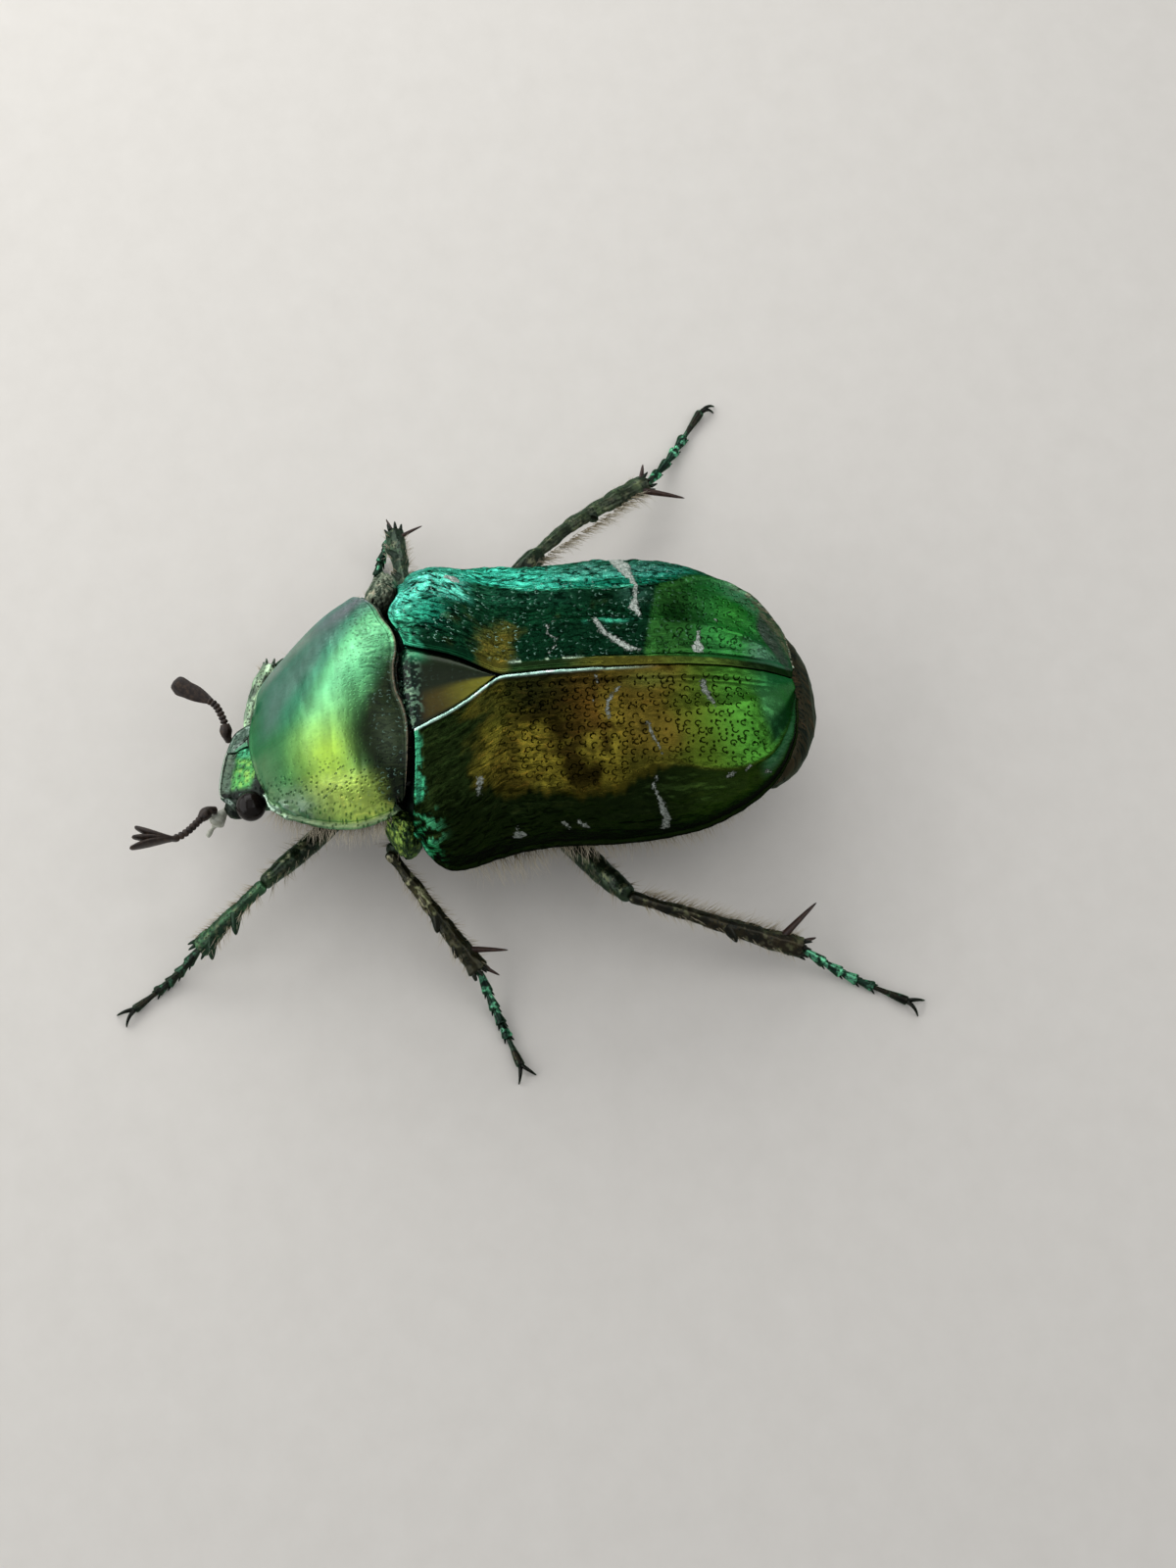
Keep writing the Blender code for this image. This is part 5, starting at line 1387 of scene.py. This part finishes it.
SPURS = {                   # (distance before the ankle, reach) and radius
    "front_left": (((0.25, (0.28, -0.12, -0.35)), 0.06),),
    "front_right": (((0.25, (-0.2, 0.3, -0.2)), 0.06),),
    "middle_left": (((0.8, (0.1, 1.3, -0.1)), 0.105), ((0.35, (0.45, 0.75, -0.1)), 0.09)),
    "middle_right": (((0.35, (-0.4, 0.85, 0.0)), 0.07), ((0.3, (-0.7, -0.25, 0.0)), 0.07)),
    "hind_left": (((0.8, (-1.05, 1.25, 0.1)), 0.125), ((0.35, (-0.25, 0.75, -0.25)), 0.10)),
    "hind_right": (((0.5, (0.35, 1.5, -0.15)), 0.115), ((0.3, (-0.75, 0.15, 0.1)), 0.10)),
}
# Degrees to the left that each claw turns from its foot's heading.
CLAWS = {"front_left": (42, -42), "front_right": (42, -42), "middle_left": (60, -50),
         "middle_right": (42, -42), "hind_left": (50, -50), "hind_right": (-45, -85)}
FOOT_SAG = {"front_right": (-0.4, -0.25, 0.0), "middle_right": (-0.35, -0.25, 0.0)}
LEG_TONE = colour(26, 34, 22)
# The front right shin's pale grey-green is a painted reflection.
SHIN_TONE = {
    "front_left": colour(42, 66, 46), "front_right": colour(128, 146, 126),
    "middle_left": colour(38, 33, 20), "middle_right": colour(36, 46, 36),
    "hind_left": colour(34, 26, 16), "hind_right": colour(44, 50, 36),
}
FOOT_TONE = {"front": colour(22, 22, 15), "middle": colour(14, 34, 24), "hind": colour(14, 36, 26)}
FOOT_SHINE = {"front": 0.12, "middle": 0.5, "hind": 0.8}
# pale tone of the speckles of painted highlight on the limbs
SPECK_TONE = colour(132, 128, 102)
THIGH_SIZE = ((0, 0.6), (0.12, 0.8), (0.4, 1.0), (0.7, 0.92), (0.9, 0.78), (1, 0.72))
SHIN_SIZE = ((0, 0.62), (0.05, 0.7), (0.12, 0.6), (0.35, 0.75), (0.6, 0.86), (0.85, 1.08), (1, 1.15))
SHIN_BOW = {"front_right": (0.0, -0.26, 0.2), "hind_right": (-0.22, -0.1, 0.0)}
THIGH_BEND = {"hind_right": ((-5.1, 9.9, 3.05), (-5.98, 11.4, 2.25))}    # control point and end
CROWN = 7                   # short spines round the far end of each shin
FOOT_ENDS = (0.0, 0.23, 0.40, 0.55, 0.69, 1.0)      # joints of a foot, as shares of its length
FOOT_PARTS = 5 + 10         # joints, then two spikes or claws for each
FOOT_JOINT_SIZE = ((0, 0.5), (0.2, 0.62), (0.7, 0.95), (0.9, 1.1), (1, 1.0))
FOOT_LAST_SIZE = ((0, 0.45), (0.3, 0.5), (0.75, 0.8), (1, 0.9))
FOOT_LAST_TONE, CLAW_TONE = colour(30, 24, 16), colour(20, 14, 10)


def leg_facts(name):
    """Pair, side (1 is left, -1 is right), hip, knee, ankle and toe of a leg."""
    pair, side_name = name.split("_")
    return pair, 1 if side_name == "left" else -1, *(np.array(joint) for joint in LEGS[name])


def spike_rings(start, end, radius, bend=(0, 0, 0), count=26):
    t = np.linspace(0, 1, count)
    path = line(start, end, count) + np.asarray(bend) * np.sin(math.pi * t)[:, None]
    size = radius * (1 - t) ** 0.55 * np.minimum(0.6 + 6 * t, 1.0) + 0.006
    return rings_along(path, size, size, 14)


def ridged(t, angle):
    """Section of a shin: four soft edges and lengthwise grooves."""
    return 1 + 0.06 * np.cos(4 * angle) + 0.025 * np.cos(11 * angle + 2 * t)


def roughen(rings, amount, seed):
    """Uneven surface: rings whose points move in and out by a share of their radius."""
    centre = rings.mean(1, keepdims=True)
    return rings + (rings - centre) * (amount * fractal(rings * 2.6, 3, seed))[..., None]


def limb_tint(rings, tone, highlight_specks, seed):
    """Darker and lighter streaks, and pale speckles of painted highlight over a share of the limb."""
    streaks = fractal(rings * 2.2, 3, seed)
    grains = fractal(rings * 7.0, 2, seed + 1)
    tint = tone * (1 + 0.75 * np.clip(streaks, -0.9, 1.2))[..., None]
    return paint(tint, smooth(grains, 0.25, 0.55) * highlight_specks, SPECK_TONE)


def foot_path(name, ankle, toe, count):
    """Centre line of a foot: down from the ankle, then along the floor."""
    t = np.linspace(0, 1, count)
    path = lerp(np.array(ankle), np.array(toe), t[:, None])
    drop = np.minimum(t / 0.62, 1.0)
    path[:, 2] = lerp(ankle[2], toe[2], drop * (2 - drop))
    return path + np.array(FOOT_SAG.get(name, (0, 0, 0))) * np.sin(math.pi * t)[:, None]


def build_hip(name):
    pair, side = leg_facts(name)[:2]
    x, y, z = HIP_CENTRE[pair]
    ball = sphere_rings(30, 44)
    rings = ball * (np.array(HIP_SIZE[pair]) + 0.02 * fractal(ball * 3, 2, 4)[..., None]) + (side * x, y, z)
    shape = Shape()
    add_tube(shape, rings, WHOLE, limb_tint(rings, LEG_TONE, 0.0, 90))
    shape.make(name + "_hip", LEG, "leg", [name + "_coxa"])


def build_thigh(name):
    """Thick limb from just behind the hip to the knee, bent where THIGH_BEND says so."""
    pair, _, hip, knee = leg_facts(name)[:4]
    wide, high = FEMUR_HALF[pair]
    t = np.linspace(0, 1, 80)
    size = curve(t, THIGH_SIZE) * rounded(t, 0.08, 0.05)
    bend, end = (np.array(p) for p in THIGH_BEND.get(name, ((hip + knee) / 2, knee)))
    start = hip - unit(bend - hip) * 0.3
    share = t[:, None]
    path = (1 - share) ** 2 * start + 2 * share * (1 - share) * bend + share ** 2 * end
    rings = rings_along(path, wide * size, high * size, 40, form=lambda a, b: 1 + 0.03 * np.cos(3 * b))
    rings = roughen(rings, 0.10, 91)
    shape = Shape()
    add_tube(shape, rings, WHOLE, limb_tint(rings, LEG_TONE, 0.25, 92))
    shape.make(name + "_thigh", LEG, "leg", [name + "_femur"])


def build_shin(name):
    """Shin with outward teeth and a crown of short spines round its far end."""
    pair, side, _, knee, ankle, _ = leg_facts(name)
    wide, high = TIBIA_HALF[pair]
    teeth, tone = TEETH[pair], SHIN_TONE[name]
    parts = 1 + len(teeth) + CROWN
    direction = unit(ankle - knee)
    length = np.linalg.norm(ankle - knee)
    beside = unit(np.cross(direction, UP))
    outer = beside * (-side if pair == "front" else side)
    t = np.linspace(0, 1, 120)
    size = curve(t, SHIN_SIZE) * rounded(t, 0.03, 0.02)
    bow = np.array(SHIN_BOW.get(name, (0, 0, 0)))
    path = line(knee - direction * 0.05, ankle, 120) + bow * np.sin(math.pi * t)[:, None]
    rings = roughen(rings_along(path, wide * size, high * size, 48, form=ridged), 0.16, 93)
    # share of painted highlight speckles: most on the knee half of the middle left shin
    scales = smooth(t, 0.6, 0.4) if name == "middle_left" else np.full(len(t), 0.2)
    shape = Shape()
    add_tube(shape, rings, tile(0, parts), limb_tint(rings, tone, scales[:, None], 94))
    for k in range(CROWN):
        spoke = 2 * math.pi * (k + 0.5) / CROWN
        radial = beside * math.cos(spoke) + np.cross(beside, direction) * math.sin(spoke)
        root = ankle - direction * 0.08 + radial * wide * 0.85
        spine = spike_rings(root, root + direction * 0.24 + radial * 0.08, 0.06, count=12)
        add_tube(shape, spine, tile(len(teeth) + 1 + k, parts), tone * 0.4)
    for k, (station, reach) in enumerate(teeth):
        root = knee + direction * (length * station)
        tip = root + outer * (wide + reach) + direction * 0.32
        tooth = spike_rings(root - direction * 0.12, tip, 0.2, direction * 0.02)
        add_tube(shape, tooth, tile(k + 1, parts), tone * 0.5)
    shape.make(name + "_shin", LEG, "leg", [name + "_tibia"])


def build_spurs(name):
    knee, ankle = leg_facts(name)[3:5]
    direction = unit(ankle - knee)
    shape = Shape()
    for k, ((back, reach), radius) in enumerate(SPURS[name]):
        root = ankle - direction * back
        spur = spike_rings(root, root + np.array(reach), radius, UP * 0.04)
        add_tube(shape, spur, tile(k, len(SPURS[name])), np.ones(3))
    shape.make(name + "_spurs", SPUR, "leg")


def add_claws(shape, root, heading, angles):
    """A pair of curved claws, which leave the foot forward and bend to the given angles."""
    t = np.linspace(0, 1, 30)
    share = t[:, None]
    size = 0.065 * (1 - t) ** 0.55 + 0.008
    for j, angle in enumerate(angles):
        a = math.radians(angle)
        turned = np.array((math.cos(a) * heading[0] - math.sin(a) * heading[1],
                           math.sin(a) * heading[0] + math.cos(a) * heading[1], 0.0))
        path = (root + heading * (0.45 * share) * (1 - 0.2 * share) + turned * (0.26 * share ** 0.8)
                + (turned - heading) * 0.10 * share ** 2)
        path[:, 2] = np.maximum(root[2] + 0.10 * np.sin(math.pi * t) - 0.16 * t ** 2, 0.03)
        add_tube(shape, rings_along(path, size, size, 14), tile(FOOT_PARTS - 2 + j, FOOT_PARTS), CLAW_TONE)


def build_foot(name):
    """Five joints, wider at their far ends, and a pair of curved claws."""
    pair = name.split("_")[0]
    path = foot_path(name, *leg_facts(name)[4:], 400)
    length = run_length(path)
    length = length / length[-1]
    t = np.linspace(0, 1, 36)
    shape = Shape()
    for k in range(5):
        last = k == 4
        tone = FOOT_LAST_TONE if last else FOOT_TONE[pair]
        at = lerp(FOOT_ENDS[k] - 0.012, FOOT_ENDS[k + 1], t)
        centre = np.stack([np.interp(at, length, path[:, i]) for i in range(3)], -1)
        size = 0.155 * curve(t, FOOT_LAST_SIZE if last else FOOT_JOINT_SIZE) * rounded(t, 0.06, 0.07)
        centre[:, 2] = np.maximum(centre[:, 2] - (PAD_Z - 0.16), size * 1.02)
        rings = roughen(rings_along(centre, size, size * 1.02, 24), 0.08, 95)
        shine = smooth(fractal(rings * (7, 7, 0), 2, 97), 0.05, 0.4) * FOOT_SHINE[pair]
        shine = shine * (0.15 if last else 1.0)
        tint = paint(limb_tint(rings, tone, 0.0, 96), shine, colour(96, 172, 136))
        add_tube(shape, rings, tile(k, FOOT_PARTS), tint)
        heading = unit(centre[-1] - centre[-4])
        if last:
            add_claws(shape, centre[-3], heading, CLAWS[name])
            break
        across = unit(np.cross(heading, UP))
        for j, sign in enumerate((-1, 1)):
            root = centre[-4] + across * sign * 0.08 - UP * 0.05
            tip = root + heading * 0.16 + across * sign * 0.07 - UP * 0.04
            tip[2] = max(tip[2], 0.02)
            spike = spike_rings(root, tip, 0.035, count=8)
            add_tube(shape, spike, tile(5 + 2 * k + j, FOOT_PARTS), tone * 0.4)
    shape.make(name + "_foot", FOOT, "foot", [name + "_tarsus"])


def build_leg(name):
    build_hip(name)
    build_thigh(name)
    build_shin(name)
    build_spurs(name)
    build_foot(name)


# ---------------------------------------------------------------- hairs
class Coat:
    """Tufts gathered into one piece: each is a thin bent spike with three sides."""

    def __init__(self, seed):
        self.random = np.random.default_rng(seed)
        self.shape = Shape()

    def grow(self, roots, directions, lengths, radius, droop, places, spread_by=0.25):
        """One hair at each root; places are the roots' places on an unwrap of the skin."""
        count = len(roots)
        aim = unit(unit(directions) + self.random.normal(0, spread_by, (count, 3)))
        side = unit(np.cross(aim, UP + 0.01))
        top = np.cross(side, aim)
        t = np.linspace(0, 1, 5)
        curl = self.random.normal(0, 0.12, (count, 1))
        lengths = np.broadcast_to(lengths, count) * self.random.uniform(0.6, 1.15, count)
        path = (roots[:, None] + aim[:, None] * (t * lengths[:, None])[..., None]
                - UP * (droop * t ** 2 * lengths[:, None])[..., None]
                + side[:, None] * (curl * t ** 2 * lengths[:, None])[..., None])
        size = radius * (1 - 0.85 * t)
        angle = 2 * math.pi * np.arange(3) / 3
        ring = side[:, None] * np.cos(angle)[:, None] + top[:, None] * np.sin(angle)[:, None]
        points = path[:, :, None] + ring[:, None] * size[:, None, None]
        points[..., 2] = np.maximum(points[..., 2], 0.01)
        surf = np.broadcast_to(np.stack((t, t * 0, t * 0), -1)[:, None], (count, 5, 3, 3))
        start = self.shape.add_points(points, surf=surf)
        one = grid_faces(5, 3, wrap=True)[:, ::-1]
        first = start + 15 * np.arange(count)[:, None, None]
        faces = (one[None] + first).reshape(-1, 4)
        patch = np.stack((np.array((0, 1, 1, 0)), np.array((0, 0, 1, 1))), -1) * 0.003
        uv = np.repeat(places, len(one), 0)[:, None] + patch[None]
        self.shape.add_faces(faces, uv, WHOLE)
        caps = np.array(((0, 1, 2), (14, 13, 12)))
        faces = (caps[None] + first).reshape(-1, 3)
        uv = np.repeat(places, 2, 0)[:, None] + patch[None, :3]
        self.shape.add_faces(faces, uv, WHOLE)

    def make(self, name, slot):
        return self.shape.make(name, HAIR, slot)


TRUNK_HALF = THORAX_HALF[:-1] + ABDOMEN_HALF[2:]
FRINGE_BOTTOM = 1.45        # height of the belly's keel


def build_flank_hair():
    """Pale fringe on the sides of the trunk, below the wing cases and the shield."""
    coat = Coat(11)
    count = 1500
    y = coat.random.uniform(7.2, 17.4, count)
    side = coat.random.choice((-1.0, 1.0), count)
    depth = coat.random.beta(1.2, 1.6, count)
    s = (y - ELYTRA_FRONT) / (ELYTRA_BACK - ELYTRA_FRONT)
    half = np.minimum(curve(y, TRUNK_HALF), elytra_half_width(s) - TRUNK_RIM_INSET)
    angle = math.pi / 2 * (1 - 0.75 * depth)
    top = elytra_margin_z(s) - TRUNK_RIM_DROP
    z = top - (top - FRINGE_BOTTOM) * np.cos(angle) ** 0.9
    roots = np.stack((side * half * np.sin(angle) ** 1.05, y, z), -1)
    back = coat.random.uniform(0.0, 0.6, count)
    out = np.stack((side * np.sin(angle) ** 0.5, back, -0.15 - depth * 0.5), -1)
    places = np.stack(((y - 6.5) / 13, 0.5 + 0.45 * side * (1 - depth)), -1) * 0.98
    lengths = np.where(y < 10.5, 0.85, 0.55)
    coat.grow(roots, out, lengths, 0.012, 0.25, places)
    return coat.make("hair_flanks", "underside")


def build_front_hair():
    """Pale fringe under the side edges of the shield."""
    coat = Coat(12)
    count = 700
    s = coat.random.uniform(0.1, 0.98, count)
    side = coat.random.choice((-1.0, 1.0), count)
    base = shield_point(s, side, 0.25)
    drop = coat.random.beta(1.0, 1.5, count)
    base[:, 2] -= 0.15 + drop * 1.1
    base[:, 0] -= side * drop ** 2 * 0.9
    out = np.stack((side, -0.5 + 0.6 * coat.random.random(count), -0.35 * np.ones(count)), -1)
    places = np.stack((s, 0.5 + side * (0.1 + 0.35 * drop)), -1) * 0.98
    coat.grow(base, out, 0.7, 0.012, 0.25, places)
    return coat.make("hair_front", "underside")


LIMB_COUNT = 2 * len(LEGS)                   # a thigh and a shin of each leg carry hairs
FRINGE_COUNT, FRINGE_LENGTH = 190, 0.55      # long hairs on the inner side of the hind shins


def grow_limb_hair(coat, index, start, end, halves, sizes, count, length):
    """Hairs on both sides of one limb; index is the limb's place on the coat's unwrap."""
    axis = unit(end - start)
    across = unit(np.cross(axis, UP))
    top = np.cross(across, axis)
    t = coat.random.uniform(0.08, 0.95, count)
    angle = coat.random.choice((0.0, math.pi), count) + coat.random.normal(0, 0.35, count)
    scale = 0.92 * curve(t, sizes)
    out = across * np.cos(angle)[:, None] + top * np.sin(angle)[:, None]
    roots = (lerp(start, end, t[:, None]) + across * (halves[0] * scale * np.cos(angle))[:, None]
             + top * (halves[1] * scale * np.sin(angle))[:, None])
    places = np.stack(((index + t) / LIMB_COUNT, (angle / (2 * math.pi)) % 1), -1) * 0.98
    coat.grow(roots, out * 0.8 + axis * 0.75, length, 0.010, 0.1, places, 0.2)


def grow_fringe(coat, side, knee, ankle):
    """Long hairs along the inner side of a hind shin."""
    axis = unit(ankle - knee)
    inner = unit(np.cross(axis, UP)) * -side
    t = coat.random.uniform(0.05, 0.92, FRINGE_COUNT)
    lift = coat.random.uniform(-0.08, 0.16, (FRINGE_COUNT, 1))
    roots = lerp(knee, ankle, t[:, None]) + inner * 0.17 + UP * lift
    places = np.stack((t, t * 0 + 0.5), -1) * 0.98
    coat.grow(roots, inner * 0.75 + axis * 0.8 + UP * 0.15, FRINGE_LENGTH, 0.011, 0.05, places, 0.12)


def build_leg_hair():
    """Short hairs on the thighs and shins, and a fringe on the hind shins."""
    coat = Coat(13)
    for index, name in enumerate(LEGS):
        pair, side, hip, knee, ankle, _ = leg_facts(name)
        grow_limb_hair(coat, 2 * index, hip, knee, FEMUR_HALF[pair], ((0, 0.85), (1, 0.85)), 110, 0.42)
        grow_limb_hair(coat, 2 * index + 1, knee, ankle, TIBIA_HALF[pair], ((0, 0.6), (0.5, 0.8), (1, 1.1)),
                       190, 0.38)
        if pair == "hind":
            grow_fringe(coat, side, knee, ankle)
    return coat.make("hair_legs", "leg")


# ---------------------------------------------------------------- stage, light and camera
FLOOR_HALF = 1.5            # metres


def build_stage():
    """Pale, slightly grained floor."""
    mesh = bpy.data.meshes.new("floor")
    corners = [(x * FLOOR_HALF, y * FLOOR_HALF, 0) for x, y in ((-1, -1), (1, -1), (1, 1), (-1, 1))]
    mesh.from_pydata(corners, [], [(0, 1, 2, 3)])
    floor = bpy.data.objects.new("floor", mesh)
    bpy.context.scene.collection.objects.link(floor)
    m = Material("floor_pale")
    spot = m.node("TexCoord").outputs["Object"]
    grain = m.noise(spot, 900.0, 4.0, 0.6)
    m.set(Base_Color=m.mix(grain, (0.60, 0.575, 0.53), (0.66, 0.635, 0.59)), Roughness=0.75)
    mesh.materials.append(m.material)


def add_softbox(name, direction, distance, size, radiance, aim):
    """Rectangular area light whose face has the given radiance, aimed at a point; metres."""
    light = bpy.data.lights.new(name, "AREA")
    light.shape = "RECTANGLE"
    light.size, light.size_y = size
    light.energy = radiance * math.pi * size[0] * size[1]
    lamp = bpy.data.objects.new(name, light)
    bpy.context.scene.collection.objects.link(lamp)
    back = Vector(direction).normalized()
    lamp.location = Vector(aim) + back * distance
    lamp.rotation_mode = "QUATERNION"
    lamp.rotation_quaternion = back.to_track_quat("Z", "Y")


def build_light():
    """Two large windows, a soft sky, two lamps from behind and a pale world."""
    aim = place((0.0, 10.5, 4.0))
    add_softbox("front_window", (-0.06, -0.88, 0.46), 0.075, (0.120, 0.070), 1.7, aim)
    add_softbox("side_window", (-0.84, -0.20, 0.52), 0.075, (0.074, 0.046), 2.5, aim)
    add_softbox("sky", (0.0, 0.1, 1.0), 0.10, (0.10, 0.10), 0.42, aim)
    add_softbox("rear", (0.05, 0.80, 0.60), 0.08, (0.060, 0.045), 1.2, aim)
    add_softbox("rear_high", (0.05, 0.42, 0.90), 0.09, (0.070, 0.035), 0.7, aim)
    world = bpy.data.worlds.new("studio")
    world.use_nodes = True
    world.node_tree.nodes["Background"].inputs["Color"].default_value = (0.93, 0.95, 1.0, 1)
    world.node_tree.nodes["Background"].inputs["Strength"].default_value = 0.36
    bpy.context.scene.world = world
    bpy.context.scene.view_settings.view_transform = "Standard"


CAMERA_TURN, CAMERA_HEIGHT, CAMERA_ROLL = -4.6, 68.0, -0.8     # degrees
CAMERA_TARGET, CAMERA_DISTANCE, CAMERA_LENS = (2.4, 12.05, 4.0), 80.0, 63.36


def build_camera():
    """Camera that looks at CAMERA_TARGET from the photograph's side."""
    turn, height, roll = (math.radians(v) for v in (CAMERA_TURN, CAMERA_HEIGHT, CAMERA_ROLL))
    back = Vector((math.cos(height) * math.cos(turn), math.cos(height) * math.sin(turn), math.sin(height)))
    right = (-back).cross(Vector((0, 0, 1))).normalized()
    up = right.cross(-back)
    turned_right = right * math.cos(roll) + up * math.sin(roll)
    turned_up = up * math.cos(roll) - right * math.sin(roll)
    data = bpy.data.cameras.new("camera")
    data.lens = CAMERA_LENS
    data.sensor_width = 36.0
    data.clip_start, data.clip_end = 0.002, 10.0
    camera = bpy.data.objects.new("camera", data)
    bpy.context.scene.collection.objects.link(camera)
    camera.matrix_world = Matrix((turned_right, turned_up, back)).transposed().to_4x4()
    camera.location = Vector(place(CAMERA_TARGET)) + back * CAMERA_DISTANCE * MM
    bpy.context.scene.camera = camera


build_camera()
build_stage()
build_light()
for side, name in ((1, "left"), (-1, "right")):
    build_elytron(side, name)
    build_mesepimeron(side, name)
    build_eye(side, name)
    build_eye_ridge(side, name)
    build_palp(side, name)
    build_antenna_stem(name)
    build_antenna_club(name)
build_pronotum()
build_scutellum()
build_prothorax()
build_thorax()
build_abdomen()
build_pygidium()
build_head()
build_brow()
for name in LEGS:
    build_leg(name)
build_flank_hair()
build_front_hair()
build_leg_hair()
